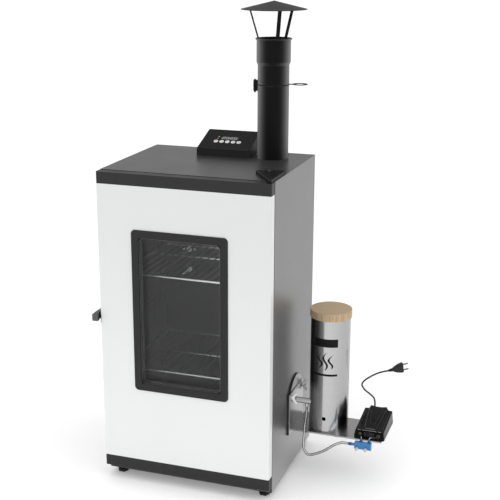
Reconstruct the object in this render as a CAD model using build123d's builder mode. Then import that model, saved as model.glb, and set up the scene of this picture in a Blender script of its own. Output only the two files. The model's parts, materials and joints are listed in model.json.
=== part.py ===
from build123d import *
import math
import os

# Electric smoking cabinet with a glazed door, a capped chimney with a damper, a digital
# controller on the roof, and a wood smoke generator with its air pump on a side shelf.
# Millimetres. The origin is on the floor under the middle of the cabinet, +Z is up, the
# door faces -Y, and the smoke generator stands on the +X side.

# ---------------------------------------------------------------- driving dimensions

# Cabinet
CAB_W = 550.0
CAB_D = 430.0
CAB_H = 985.0
FOOT_H = 20.0
FOOT_R = 18.0
FOOT_X = 242.0
FOOT_Y = 190.0
SKIN = 1.2
ROOF_SKIN = 1.5
LINER = 0.8
WALL = 36.0
CHAMBER_FLOOR = 110.0
CHAMBER_TOP = 965.0
BASE_RISE = 24.0
EDGE_RETURN = 15.0

# Door
DOOR_GAP = 4.0
DOOR_T = 30.0
CAP_H = 36.0
CAP_WALL = 3.0
WINDOW_X = -10.0
WINDOW_Z = 577.5
BEZEL_W = 307.0
BEZEL_H = 515.0
BEZEL_T = 3.5
SLEEVE_W = 281.0
SLEEVE_H = 489.0
SLEEVE_WALL = 3.0
VIEW_W = 261.0
VIEW_H = 468.0
PANE_T = 4.0
GASKET_W = 12.0

# Hinge and latch
HINGE_X = 265.0
HINGE_PIN_R = 4.0
HINGE_PLATE_T = 10.0
RUNNING_GAP = 0.05
LATCH_Z = 549.0
KEEPER_Y = -190.0
KEEPER_R = 4.0

# Chimney
FLUE_X = 161.0
FLUE_Y = 124.0
FLUE_R = 49.0
FLUE_WALL = 1.0
FLUE_CONE_Z = 1295.0
SOCKET_R = 53.0
SOCKET_Z = 1305.0
RIM_Z = 1372.0
RIM_R = 57.0
RAIN_CAP_R = 101.5
RAIN_CAP_Z = 1463.0
RAIN_CAP_RISE = 25.0
LEG_FOOT_R = 51.5
LEG_TOP_R = 80.0
LEG_W = 12.0
LEG_T = 1.4
DAMPER_Z = 1235.0
DAMPER_T = 2.0
DAMPER_LINE = 20.0
DAMPER_PIVOT_R = 57.0
DAMPER_RING_R = 82.5

# Controller
CTRL_X = 6.5
CTRL_W = 175.0
CTRL_FRONT_Y = 84.0
CTRL_BACK_Y = 203.0
CTRL_FRONT_H = 22.0
CTRL_BACK_H = 65.0
CTRL_WALL = 2.5
BUTTON_R = 7.4
BUTTON_PITCH = 19.4
BUTTON_UP = 50.0
LED_R = 2.2

# Smoke generator on its shelf
GEN_X = 382.0
GEN_Y = 52.0
GEN_R = 63.0
GEN_WALL = 1.2
GEN_FLOOR_T = 2.0
AIR_HOLE_R = 6.5
AIR_HOLE_Z = 197.0
SHELF_TOP = 150.0
SHELF_T = 3.0
SHELF_LIP = 4.5
SHELF_END_X = 572.0
SHELF_Y = (-20.0, 124.0)
BRACKET_Y = (-60.0, 92.0)
BRACKET_TOP = 284.0
GEN_TOP = 526.0
LID_R = 66.0
LID_T = 25.0
LID_PLUG = 12.0
SMOKE_PIPE_Y = 24.0
SMOKE_PIPE_Z = 236.0
SMOKE_PIPE_R = 9.0
SMOKE_PIPE_WALL = 1.2
NIPPLE_X = 316.0
NIPPLE_COLLAR_Z = 218.0
NIPPLE_END_Z = 206.0
FLANGE_Z = 246.0
FLANGE_R = 76.0
FLANGE_T = 5.0
STUD_SPAN = 60.0
STUD_Z = 266.0
STUD_R = 3.0
STUD_LENGTH = 22.0
WING_NUT_T = 7.0
WING_NUT_R = 5.5
WING_T = 2.4

# Air pump and its air lines
PUMP_X = (483.0, 580.0)
PUMP_Y = (-20.5, 129.5)
PUMP_FOOT = 3.0
PUMP_WALL = 2.0
PUMP_SEAM_Z = 163.0
PUMP_SHOULDER_Z = 186.0
PUMP_HUMP_Z = 200.0
HUMP_SIZE = (72.0, 118.0)
HUMP_BACK = 12.0
NOZZLE_X = (505.0, 562.0)
NOZZLE_Z = 170.0
NOZZLE_R = 5.0
BELLOWS_Y = (12.0, 40.0)
BELLOWS_Z = (157.0, 176.0)
COIL_X = (510.0, 553.0)
COIL_Y = (54.0, 99.0)
COIL_Z = (156.0, 178.0)
ARM_X = (512.0, 552.0)
ARM_R = 2.0
MANIFOLD_X = (496.0, 549.0)
MANIFOLD_Y = -60.0
MANIFOLD_Z = 149.5
MANIFOLD_HALF = (8.0, 11.5)
MANIFOLD_NECK_R = 4.6
MANIFOLD_NECK = 20.0
KNOB_X = (505.0, 532.0)
KNOB_Z = 141.0
KNOB_R = 5.0
KNOB_STEM_R = 1.6
BARB_X = (516.0, 541.0)
BARB_COLLAR = (4.2, 4.0)
HOSE_R = 4.0
HOSE_BORE_R = 2.6
BARB_R = 2.5
BARB_LENGTH = 12.0
BARB_SHORT = 8.0
LEAD_R = 2.6
LEAD_X = 514.0
LEAD_Z = 174.0
LEAD_BOOT_R = 4.8
PLUG_START = (566.0, 140.0, 332.0)
PLUG_AXIS = Vector(0.83, 0.54, 0.145).normalized()
PLUG_LENGTH = 38.0
PLUG_PIN_R = 2.4
PLUG_PIN_LENGTH = 19.0
PLUG_PIN_SPACING = 19.0

# ---------------------------------------------------------------- places worked out from them

CAB_TOP = FOOT_H + CAB_H
SIDE_X = CAB_W / 2
FRONT_Y = -CAB_D / 2
BACK_Y = CAB_D / 2
ROOF_Z = CAB_TOP - ROOF_SKIN
CHAMBER_X = SIDE_X - WALL
CHAMBER_BACK = BACK_Y - WALL
BASE_TOP = FOOT_H + BASE_RISE
DOOR_BACK = FRONT_Y - DOOR_GAP
DOOR_FRONT = DOOR_BACK - DOOR_T
DOOR_X = SIDE_X - 0.5
DOOR_TOP = CAB_TOP - 1.0
PANEL_BOTTOM = BASE_TOP + CAP_H
PANEL_TOP = DOOR_TOP - CAP_H
HINGE_Y = DOOR_BACK - DOOR_T / 2
FLUE_SLEEVE_R = FLUE_R - FLUE_WALL - 0.1
INNER_X = SIDE_X - SKIN
BACK_INNER = BACK_Y - 2 * SKIN
PIPE_LINE = (SMOKE_PIPE_Y, SMOKE_PIPE_Z)
STUDS_Y = (SMOKE_PIPE_Y - STUD_SPAN, SMOKE_PIPE_Y + STUD_SPAN)
BRACKET_X = (SIDE_X + FLANGE_T, SIDE_X + FLANGE_T + SHELF_T)


# ---------------------------------------------------------------- small building blocks

def block(x, y, z, mode=Mode.ADD):
    """A box between two limits on each axis."""
    spans = [sorted(span) for span in (x, y, z)]
    centre = tuple((low + high) / 2 for low, high in spans)
    size = [high - low for low, high in spans]
    with Locations(centre):
        Box(*size, mode=mode)


def rod(start, end, radius, mode=Mode.ADD):
    """A round bar, or with Mode.SUBTRACT a round hole, between two points."""
    along = Vector(*end) - Vector(*start)
    with Locations(Plane(origin=start, z_dir=along)):
        Cylinder(radius, along.length, align=(Align.CENTER, Align.CENTER, Align.MIN), mode=mode)


def rounded_slab(centre, size, radius, mode=Mode.ADD):
    """A plate facing -Y with rounded corners: centre (x, y, z) and size (x, y, z)."""
    front = Plane(origin=(centre[0], centre[1] + size[1] / 2, centre[2]), z_dir=(0, -1, 0), x_dir=(1, 0, 0))
    with BuildSketch(front) as outline:
        RectangleRounded(size[0], size[2], radius)
    extrude(outline.sketch, amount=size[1], mode=mode)


def screw(seat, direction):
    """A pan-head screw: its head sits on the seat and points along direction."""
    out = Vector(*direction)
    seat = Vector(*seat)
    rod(seat, seat + out * 2.0, 3.6)
    rod(seat - out * 8.0, seat, 1.8)


def screw_hole(seat, direction):
    """The clearance hole for that screw."""
    out = Vector(*direction)
    seat = Vector(*seat)
    rod(seat - out * 9.0, seat + out, 2.0, mode=Mode.SUBTRACT)


def flue_direction(turn):
    """A level direction, turned from the line through the damper's pivot and ring."""
    angle = math.radians(DAMPER_LINE + turn)
    return Vector(math.cos(angle), math.sin(angle), 0)


def around_flue(radius, turn, z):
    """A point at a distance from the chimney's axis."""
    return Vector(FLUE_X, FLUE_Y, z) + flue_direction(turn) * radius


# Screw places: where the head sits, and which way it points
BACK_SCREW_Z = [FOOT_H + CAB_H * share for share in (0.04, 0.27, 0.5, 0.73, 0.96)]
BACK_SCREWS = [((side * (SIDE_X - 8), BACK_Y, z), (0, 1, 0)) for side in (-1, 1) for z in BACK_SCREW_Z]
HINGE_SCREWS = [((229.0, -127.0, CAB_TOP + HINGE_PLATE_T), (0, 0, 1))]
BRACKET_SCREWS = [((x, FRONT_Y - 3.0, FOOT_H + 9), (0, -1, 0)) for x in (232.0, 262.0)]
FLUE_SCREWS = [(around_flue(FLUE_R, turn, CAB_TOP + 9), flue_direction(turn)) for turn in (0, 180)]

# ---------------------------------------------------------------- cabinet shell

with BuildPart() as left_side_panel:
    block((-SIDE_X, -INNER_X), (FRONT_Y, BACK_Y), (FOOT_H, ROOF_Z))
    block((-INNER_X, -SIDE_X + EDGE_RETURN), (BACK_Y - SKIN, BACK_Y), (FOOT_H, ROOF_Z))
    for seat, direction in BACK_SCREWS:
        screw_hole(seat, direction)

with BuildPart() as right_side_panel:
    block((INNER_X, SIDE_X), (FRONT_Y, BACK_Y), (FOOT_H, ROOF_Z))
    block((SIDE_X - EDGE_RETURN, INNER_X), (BACK_Y - SKIN, BACK_Y), (FOOT_H, ROOF_Z))
    for seat, direction in BACK_SCREWS:
        screw_hole(seat, direction)
    rod((INNER_X - 1, *PIPE_LINE), (SIDE_X + 1, *PIPE_LINE), SMOKE_PIPE_R + 0.2, Mode.SUBTRACT)

INLET_X = -170.0
INLET_Z = 60.0
with BuildPart() as back_panel:
    block((-INNER_X, INNER_X), (BACK_INNER, BACK_Y - SKIN), (FOOT_H, ROOF_Z))
    block((INLET_X - 14, INLET_X + 14), (BACK_INNER - 1, BACK_Y), (INLET_Z - 11, INLET_Z + 11), Mode.SUBTRACT)
    for seat, direction in BACK_SCREWS:
        screw_hole(seat, direction)

with BuildPart() as top_cover:
    block((-SIDE_X, SIDE_X), (FRONT_Y, BACK_Y), (ROOF_Z, CAB_TOP))
    rim_x = INNER_X - 0.2
    rim_y = (FRONT_Y + 2.0, BACK_INNER - 0.2)
    block((-rim_x, rim_x), rim_y, (ROOF_Z - 10, ROOF_Z))
    inside_y = (rim_y[0] + SKIN, rim_y[1] - SKIN)
    block((-rim_x + SKIN, rim_x - SKIN), inside_y, (ROOF_Z - 10, ROOF_Z), Mode.SUBTRACT)
    rod((FLUE_X, FLUE_Y, CHAMBER_TOP), (FLUE_X, FLUE_Y, CAB_TOP + 30), FLUE_SLEEVE_R)
    rod((FLUE_X, FLUE_Y, CHAMBER_TOP), (FLUE_X, FLUE_Y, CAB_TOP + 30), FLUE_SLEEVE_R - 1.0, Mode.SUBTRACT)
    for seat, direction in HINGE_SCREWS + FLUE_SCREWS:
        screw_hole(seat, direction)

with BuildPart() as base_pan:
    block((-INNER_X, INNER_X), (FRONT_Y, BACK_INNER), (FOOT_H, BASE_TOP))
    inside_x = INNER_X - SKIN
    block((-inside_x, inside_x), (FRONT_Y + SKIN, BACK_INNER - SKIN), (FOOT_H + SKIN, BASE_TOP), Mode.SUBTRACT)
    with Locations((0, 0, FOOT_H)):
        with GridLocations(2 * FOOT_X, 2 * FOOT_Y, 2, 2):
            Cylinder(5.3, 6, mode=Mode.SUBTRACT)
    for seat, direction in BRACKET_SCREWS:
        screw_hole(seat, direction)

with BuildPart() as levelling_feet:
    with BuildSketch(Plane.XY):
        with GridLocations(2 * FOOT_X, 2 * FOOT_Y, 2, 2):
            RegularPolygon(FOOT_R, 6)
    extrude(amount=9)
    chamfer(faces().sort_by(Axis.Z)[-1].edges() + faces().sort_by(Axis.Z)[0].edges(), 1.2)
    with BuildSketch(Plane.XY.offset(9)):
        with GridLocations(2 * FOOT_X, 2 * FOOT_Y, 2, 2):
            Circle(5)
    extrude(amount=20)
    with BuildSketch(Plane.XY.offset(FOOT_H - 6)):
        with GridLocations(2 * FOOT_X, 2 * FOOT_Y, 2, 2):
            RegularPolygon(9, 6)
    extrude(amount=6)

HEATER_X = (60.0, 170.0)
HEATER_Z = 172.0
PROBE_X = -148.0
PROBE_Z = (660.0, 590.0)

with BuildPart() as inner_liner:
    outside_x = CHAMBER_X + LINER
    outside_z = (CHAMBER_FLOOR - LINER, CHAMBER_TOP + LINER)
    block((-outside_x, outside_x), (FRONT_Y, CHAMBER_BACK + LINER), outside_z)
    block((-INNER_X, INNER_X), (FRONT_Y, FRONT_Y + LINER), (BASE_TOP, ROOF_Z))
    chamber_z = (CHAMBER_FLOOR, CHAMBER_TOP)
    block((-CHAMBER_X, CHAMBER_X), (FRONT_Y, CHAMBER_BACK), chamber_z, Mode.SUBTRACT)
    rod((FLUE_X, FLUE_Y, CHAMBER_TOP), (FLUE_X, FLUE_Y, CHAMBER_TOP + 5), FLUE_SLEEVE_R + 0.1, Mode.SUBTRACT)
    pipe_hole = ((CHAMBER_X - 1, *PIPE_LINE), (CHAMBER_X + 2, *PIPE_LINE))
    rod(*pipe_hole, SMOKE_PIPE_R + 0.2, Mode.SUBTRACT)
    for x in HEATER_X:
        rod((x, CHAMBER_BACK - 1, HEATER_Z), (x, CHAMBER_BACK + 2, HEATER_Z), 4.2, Mode.SUBTRACT)
    for z in PROBE_Z:
        rod((PROBE_X, CHAMBER_BACK - 1, z), (PROBE_X, CHAMBER_BACK + 2, z), 3.2, Mode.SUBTRACT)

with BuildPart() as cabinet_insulation:
    pack_x = rim_x - SKIN - 0.2
    pack_y = (FRONT_Y + LINER, CHAMBER_BACK + LINER)
    wall_x = CHAMBER_X + LINER
    wall_z = (CHAMBER_FLOOR - 32, CHAMBER_TOP + LINER)
    front_pack_y = (FRONT_Y + 4, pack_y[1])
    block((-pack_x, -wall_x), pack_y, wall_z)
    block((wall_x, pack_x), pack_y, wall_z)
    block((-pack_x, pack_x), (pack_y[1] + 0.1, BACK_INNER - 1.6), wall_z)
    block((-pack_x, pack_x), front_pack_y, (wall_z[1] + 0.1, ROOF_Z))
    block((-wall_x + 0.1, wall_x - 0.1), front_pack_y, (wall_z[0], CHAMBER_FLOOR - LINER))
    flue_hole = ((FLUE_X, FLUE_Y, CHAMBER_TOP), (FLUE_X, FLUE_Y, CAB_TOP))
    rod(*flue_hole, FLUE_SLEEVE_R + 0.1, Mode.SUBTRACT)
    rod((CHAMBER_X, *PIPE_LINE), (SIDE_X, *PIPE_LINE), SMOKE_PIPE_R + 0.2, Mode.SUBTRACT)
    for x in HEATER_X:
        rod((x, CHAMBER_BACK, HEATER_Z), (x, BACK_Y, HEATER_Z), 4.2, Mode.SUBTRACT)
    for z in PROBE_Z:
        rod((PROBE_X, CHAMBER_BACK, z), (PROBE_X, BACK_Y, z), 3.2, Mode.SUBTRACT)
    for seat, direction in HINGE_SCREWS + BACK_SCREWS:
        screw_hole(seat, direction)

with BuildPart() as power_inlet:
    block((INLET_X - 24, INLET_X + 24), (BACK_Y - SKIN, BACK_Y + 2), (INLET_Z - 14, INLET_Z + 14))
    block((INLET_X - 13.8, INLET_X + 13.8), (BACK_Y - 26, BACK_Y), (INLET_Z - 10.8, INLET_Z + 10.8))
    block((INLET_X - 11.5, INLET_X + 11.5), (BACK_Y - 20, BACK_Y + 2), (INLET_Z - 8, INLET_Z + 8), Mode.SUBTRACT)
    for x, z in ((-6, -2), (0, 3), (6, -2)):
        block((INLET_X + x - 1, INLET_X + x + 1), (BACK_Y - 21, BACK_Y - 6), (INLET_Z + z - 2, INLET_Z + z + 2))

# ---------------------------------------------------------------- hinges and latch keeper

with BuildPart() as top_hinge_plate:
    with BuildSketch(Plane.XY.offset(CAB_TOP)):
        with BuildLine():
            Polyline((186, -126), (273, -98), (273, -256), close=True)
        make_face()
        fillet(vertices(), 4)
    extrude(amount=HINGE_PLATE_T)
    chamfer(faces().sort_by(Axis.Z)[-1].edges(), 0.8)
    rod((HINGE_X, HINGE_Y, CAB_TOP - 22), (HINGE_X, HINGE_Y, CAB_TOP), HINGE_PIN_R)
    for seat, direction in HINGE_SCREWS:
        screw_hole(seat, direction)

with BuildPart() as bottom_hinge_bracket:
    tongue_z = (BASE_TOP - 5, BASE_TOP - 1)
    block((218, 273), (FRONT_Y - 3, FRONT_Y), (FOOT_H + 1, tongue_z[1]))
    block((246, 273), (DOOR_FRONT + 3, FRONT_Y), tongue_z)
    rod((HINGE_X, HINGE_Y, tongue_z[1]), (HINGE_X, HINGE_Y, BASE_TOP + 20), HINGE_PIN_R)
    for seat, direction in BRACKET_SCREWS:
        screw_hole(seat, direction)

with BuildPart() as latch_keeper:
    block((-SIDE_X - 2, -SIDE_X), (KEEPER_Y - 14, KEEPER_Y + 20), (LATCH_Z - 20, LATCH_Z + 12))
    rod((-SIDE_X - 2, KEEPER_Y, LATCH_Z - 4), (-SIDE_X - 18, KEEPER_Y, LATCH_Z - 4), KEEPER_R)

# ---------------------------------------------------------------- inside the smoking chamber

RACK_LEVELS = (365.0, 520.5, 676.0, 831.5)
RACK_X = 229.0
RACK_Y = (-188.0, 168.0)
RACK_BAR_Y = {"lower": -14.0, "upper": 45.0}
WIRE_R = 3.0
LINK_R = 2.2
RAIL_X = 224.0
HANGER_X = CHAMBER_X - WIRE_R - 0.1

with BuildPart() as rack_supports:
    for side in (-1, 1):
        for y in (-150, 132):
            rod((side * HANGER_X, y, CHAMBER_FLOOR), (side * HANGER_X, y, CHAMBER_TOP - 40), WIRE_R)
        for level in RACK_LEVELS:
            rail_z = level - 2 * WIRE_R - 0.2
            rod((side * RAIL_X, RACK_Y[0] + 8, rail_z), (side * RAIL_X, RACK_Y[1] - 8, rail_z), WIRE_R)
            for y in (-150, 132):
                rod((side * RAIL_X, y, rail_z), (side * HANGER_X, y, rail_z), LINK_R)


def wire_rack(level, bar_y):
    """One food rack: a round-cornered wire frame, a cross bar and the grid wires."""
    with BuildLine(Plane.XY.offset(level)) as frame_line:
        FilletPolyline(
            (-RACK_X, RACK_Y[0]),
            (RACK_X, RACK_Y[0]),
            (RACK_X, RACK_Y[1]),
            (-RACK_X, RACK_Y[1]),
            radius=14,
            close=True,
        )
    with BuildSketch(Plane(origin=(0, RACK_Y[0], level), z_dir=(1, 0, 0))) as wire:
        Circle(WIRE_R)
    sweep(wire.sketch, path=frame_line.line)
    rod((-RACK_X, bar_y, level), (RACK_X, bar_y, level), 2.4)
    for step in range(-8, 9):
        x = step * 25.0
        rod((x, RACK_Y[0] - 2, level + 2), (x, RACK_Y[1] + 2, level + 2), 1.6)


with BuildPart() as lower_rack:
    wire_rack(RACK_LEVELS[0], RACK_BAR_Y["lower"])

with BuildPart() as upper_rack:
    wire_rack(RACK_LEVELS[2], RACK_BAR_Y["upper"])

with BuildPart() as drip_tray:
    tray_x = (-228.0, -12.0)
    tray_y = (-195.0, 158.0)
    tray_z = (CHAMBER_FLOOR + 0.5, CHAMBER_FLOOR + 24)
    block(tray_x, tray_y, tray_z)
    fillet(edges().filter_by(Axis.Z), 12)
    offset(amount=-1.0, openings=faces().sort_by(Axis.Z)[-1])

with BuildPart() as heat_deflector:
    cover_x = (0.0, 220.0)
    cover_y = (-110.0, 100.0)
    cover_z = (CHAMBER_FLOOR, 258.0)
    block(cover_x, cover_y, cover_z)
    fillet(edges().filter_by(Axis.Y).group_by(Axis.Z)[-1], 8)
    offset(amount=-1.0, openings=faces().filter_by(Axis.Y) + faces().sort_by(Axis.Z)[:1])
    for wall_x, foot_x in ((cover_x[0] + 1, cover_x[0] - 8), (cover_x[1] - 1, cover_x[1] + 8)):
        block((wall_x, foot_x), cover_y, (CHAMBER_FLOOR, CHAMBER_FLOOR + 1))

with BuildPart() as heating_element:
    with BuildLine() as element_line:
        FilletPolyline(
            (HEATER_X[0], BACK_Y - 8, HEATER_Z),
            (HEATER_X[0], -80, HEATER_Z),
            (HEATER_X[1], -80, HEATER_Z),
            (HEATER_X[1], BACK_Y - 8, HEATER_Z),
            radius=30,
        )
    with BuildSketch(Plane(origin=(HEATER_X[0], BACK_Y - 8, HEATER_Z), z_dir=(0, -1, 0))):
        Circle(4)
    sweep(path=element_line.line)
    block((HEATER_X[0] - 20, HEATER_X[1] + 20), (CHAMBER_BACK - 3, CHAMBER_BACK), (HEATER_Z - 16, HEATER_Z + 16))

with BuildPart() as temperature_probes:
    for z in PROBE_Z:
        rod((PROBE_X, CHAMBER_BACK - 2.5, z), (PROBE_X, CHAMBER_BACK, z), 9)
        rod((PROBE_X, CHAMBER_BACK - 60, z), (PROBE_X, BACK_Y - 10, z), 3)

# ---------------------------------------------------------------- door

SIDE_T = 1.0

with BuildPart() as door_skin:
    block((-DOOR_X, DOOR_X), (DOOR_FRONT, DOOR_BACK), (PANEL_BOTTOM, PANEL_TOP))
    fillet(edges().filter_by(Axis.Z).group_by(Axis.Y)[0], 3)
    hollow_x = DOOR_X - SIDE_T
    block((-hollow_x, hollow_x), (DOOR_FRONT + SKIN, DOOR_BACK), (PANEL_BOTTOM, PANEL_TOP), Mode.SUBTRACT)
    rounded_slab((WINDOW_X, DOOR_FRONT, WINDOW_Z), (SLEEVE_W + 0.2, 6, SLEEVE_H + 0.2), 8, Mode.SUBTRACT)


def door_cap(z, pin_end):
    """A moulded cap across the door's end: a shell open inwards, with a solid hinge end."""
    block((-DOOR_X, DOOR_X), (DOOR_FRONT, DOOR_BACK), z)
    fillet(edges().filter_by(Axis.Z).group_by(Axis.Y)[0], 4)
    pocket_y = (DOOR_FRONT + CAP_WALL, DOOR_BACK - CAP_WALL)
    pocket_z = (z[0], z[1] - CAP_WALL) if pin_end == "top" else (z[0] + CAP_WALL, z[1])
    block((-DOOR_X + CAP_WALL, 244), pocket_y, pocket_z, Mode.SUBTRACT)
    bore_z = (z[1] - 24, z[1]) if pin_end == "top" else (z[0], z[0] + 24)
    bore = [(HINGE_X, HINGE_Y, level) for level in bore_z]
    rod(*bore, HINGE_PIN_R + RUNNING_GAP, Mode.SUBTRACT)


with BuildPart() as door_top_cap:
    door_cap((PANEL_TOP, DOOR_TOP), "top")

with BuildPart() as door_bottom_cap:
    door_cap((BASE_TOP, PANEL_BOTTOM), "bottom")

with BuildPart() as door_inner_panel:
    block((-hollow_x, hollow_x), (DOOR_BACK - SKIN, DOOR_BACK), (PANEL_BOTTOM, PANEL_TOP))
    rounded_slab((WINDOW_X, DOOR_BACK - SKIN / 2, WINDOW_Z), (VIEW_W + 4, 6, VIEW_H + 4), 8, Mode.SUBTRACT)

with BuildPart() as door_insulation:
    filling_y = (DOOR_FRONT + SKIN, DOOR_BACK - SKIN)
    window_left = WINDOW_X - SLEEVE_W / 2 - 0.2
    window_right = WINDOW_X + SLEEVE_W / 2 + 0.2
    window_low = WINDOW_Z - SLEEVE_H / 2 - 0.2
    window_high = WINDOW_Z + SLEEVE_H / 2 + 0.2
    block((-hollow_x, window_left), filling_y, (PANEL_BOTTOM, PANEL_TOP))
    block((window_right, hollow_x), filling_y, (PANEL_BOTTOM, PANEL_TOP))
    block((window_left + 0.1, window_right - 0.1), filling_y, (PANEL_BOTTOM, window_low))
    block((window_left + 0.1, window_right - 0.1), filling_y, (window_high, PANEL_TOP))

with BuildPart() as window_bezel:
    flange_y = DOOR_FRONT - BEZEL_T / 2
    rounded_slab((WINDOW_X, flange_y, WINDOW_Z), (BEZEL_W, BEZEL_T, BEZEL_H), 13)
    fillet(faces().sort_by(Axis.Y)[0].outer_wire().edges(), 1.5)
    sleeve_y = (DOOR_FRONT, DOOR_BACK - SKIN - 0.2)
    sleeve_depth = sleeve_y[1] - sleeve_y[0]
    rounded_slab((WINDOW_X, sum(sleeve_y) / 2, WINDOW_Z), (SLEEVE_W, sleeve_depth, SLEEVE_H), 8)
    inside = (SLEEVE_W - 2 * SLEEVE_WALL, sleeve_depth + 2, SLEEVE_H - 2 * SLEEVE_WALL)
    rounded_slab((WINDOW_X, sum(sleeve_y) / 2 + 1, WINDOW_Z), inside, 6, Mode.SUBTRACT)
    rounded_slab((WINDOW_X, DOOR_FRONT, WINDOW_Z), (VIEW_W, 30, VIEW_H), 6, Mode.SUBTRACT)

with BuildPart() as window_panes:
    for y in (DOOR_FRONT + PANE_T / 2 + 0.1, DOOR_BACK - SKIN - 0.2 - PANE_T / 2):
        pane = (SLEEVE_W - 2 * SLEEVE_WALL - 0.4, PANE_T, SLEEVE_H - 2 * SLEEVE_WALL - 0.4)
        rounded_slab((WINDOW_X, y, WINDOW_Z), pane, 5.5)

with BuildPart() as door_gasket:
    seal_x = CHAMBER_X + 6 + GASKET_W
    seal_z = (CHAMBER_FLOOR - 6 - GASKET_W, CHAMBER_TOP + 6 + GASKET_W)
    seal_y = (DOOR_BACK, DOOR_BACK + DOOR_GAP - 0.5)
    seal_middle = (0, sum(seal_y) / 2, sum(seal_z) / 2)
    seal_h = seal_z[1] - seal_z[0]
    rounded_slab(seal_middle, (2 * seal_x, DOOR_GAP - 0.5, seal_h), 16)
    rounded_slab(seal_middle, (2 * (seal_x - GASKET_W), DOOR_GAP, seal_h - 2 * GASKET_W), 6, Mode.SUBTRACT)

LATCH_PIN_R = 4.0
LEVER_X = (-SIDE_X - 4.5, -SIDE_X - 18.0)

with BuildPart() as latch_base:
    block((-DOOR_X - 2.5, -DOOR_X), (DOOR_FRONT + 4, DOOR_BACK - 1), (LATCH_Z - 24, LATCH_Z + 16))
    rod((-DOOR_X - 2.5, HINGE_Y, LATCH_Z), (LEVER_X[1] - 3, HINGE_Y, LATCH_Z), LATCH_PIN_R)
    rod((LEVER_X[1] - 1, HINGE_Y, LATCH_Z), (LEVER_X[1] - 3, HINGE_Y, LATCH_Z), LATCH_PIN_R + 2.5)

with BuildPart() as latch_lever:
    hook_back = KEEPER_Y + 14
    lever_low = LATCH_Z - 11
    lever_high = LATCH_Z + 11
    with BuildSketch(Plane(origin=(LEVER_X[0], 0, 0), z_dir=(-1, 0, 0), x_dir=(0, -1, 0))):
        with BuildLine():
            FilletPolyline(
                (-DOOR_FRONT + 8, lever_high),
                (-DOOR_FRONT + 8, lever_low),
                (-KEEPER_Y + 9, lever_low),
                (-KEEPER_Y + 6, lever_low + 5),
                (-hook_back, lever_low - 3),
                (-hook_back, lever_high - 5),
                (-hook_back + 8, lever_high),
                radius=1.5,
                close=True,
            )
        make_face()
    extrude(amount=LEVER_X[0] - LEVER_X[1])
    block((LEVER_X[0] + 1.5, LEVER_X[1] - 2), (DOOR_FRONT - 18, DOOR_FRONT - 3), (LATCH_Z - 13, LATCH_Z + 9))
    fillet(edges().filter_by(Axis.X).group_by(Axis.Y)[0], 2.5)
    rod((LEVER_X[0] + 9, HINGE_Y, LATCH_Z), (LEVER_X[1] - 9, HINGE_Y, LATCH_Z), LATCH_PIN_R + RUNNING_GAP, Mode.SUBTRACT)
    slot_z = (lever_low - 10, LATCH_Z + 2)
    block((LEVER_X[0] + 9, LEVER_X[1] - 9), (KEEPER_Y - 6, KEEPER_Y + 6), slot_z, Mode.SUBTRACT)

# ---------------------------------------------------------------- chimney

with BuildPart() as chimney_pipe:
    with BuildSketch(Plane.XZ) as pipe_wall:
        with BuildLine():
            Polyline(
                (FLUE_R - FLUE_WALL, CAB_TOP),
                (FLUE_R, CAB_TOP),
                (FLUE_R, FLUE_CONE_Z),
                (SOCKET_R, SOCKET_Z),
                (SOCKET_R, RIM_Z),
                (RIM_R - 1, RIM_Z),
                (RIM_R, RIM_Z + 2),
                (RIM_R - 1, RIM_Z + 4),
                (SOCKET_R - FLUE_WALL, RIM_Z + 4),
                (SOCKET_R - FLUE_WALL, SOCKET_Z + 0.3),
                (FLUE_R - FLUE_WALL, FLUE_CONE_Z + 0.3),
                close=True,
            )
        make_face()
    revolve(pipe_wall.sketch.moved(Location((FLUE_X, FLUE_Y, 0))), axis=Axis((FLUE_X, FLUE_Y, 0), (0, 0, 1)))
    slot_middle = around_flue(60 - 7.5, -90, DAMPER_Z)
    with Locations(Plane(origin=slot_middle, x_dir=flue_direction(0), z_dir=(0, 0, 1))):
        Box(160, 120, DAMPER_T + 1.2, mode=Mode.SUBTRACT)
    for seat, direction in FLUE_SCREWS:
        screw_hole(seat, direction)

with BuildPart() as damper_pivot:
    arms = ((DAMPER_Z - 20, DAMPER_Z - DAMPER_T / 2 - 0.6), (DAMPER_Z + DAMPER_T / 2 + 0.6, DAMPER_Z + 14))
    for low, high in arms:
        web_middle = around_flue((FLUE_R + DAMPER_PIVOT_R) / 2 - 1, 180, (low + high) / 2)
        rod(around_flue(DAMPER_PIVOT_R, 180, low), around_flue(DAMPER_PIVOT_R, 180, high), 5.5)
        with Locations(Plane(origin=web_middle, x_dir=flue_direction(0), z_dir=(0, 0, 1))):
            Box(DAMPER_PIVOT_R - FLUE_R + 2, 7, high - low)
    rod((FLUE_X, FLUE_Y, DAMPER_Z - 30), (FLUE_X, FLUE_Y, DAMPER_Z + 30), FLUE_R, Mode.SUBTRACT)
    rod(around_flue(DAMPER_PIVOT_R, 180, arms[0][0] - 4), around_flue(DAMPER_PIVOT_R, 180, arms[1][1] + 3), 3.0)

with BuildPart() as damper_plate:
    damper_plane = Plane(origin=(FLUE_X, FLUE_Y, DAMPER_Z - DAMPER_T / 2), x_dir=flue_direction(0), z_dir=(0, 0, 1))
    with BuildSketch(damper_plane):
        Circle(FLUE_R - FLUE_WALL - 0.4)
        with Locations((-DAMPER_PIVOT_R / 2, 0)):
            Rectangle(DAMPER_PIVOT_R, 12)
        with Locations((-DAMPER_PIVOT_R, 0)):
            Circle(6)
        with Locations((DAMPER_RING_R / 2, 0)):
            Rectangle(DAMPER_RING_R, 12)
        with Locations((DAMPER_RING_R, 0)):
            Circle(24)
            Circle(15.5, mode=Mode.SUBTRACT)
        with Locations((-DAMPER_PIVOT_R, 0)):
            Circle(3.0 + RUNNING_GAP, mode=Mode.SUBTRACT)
    extrude(amount=DAMPER_T)

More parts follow.
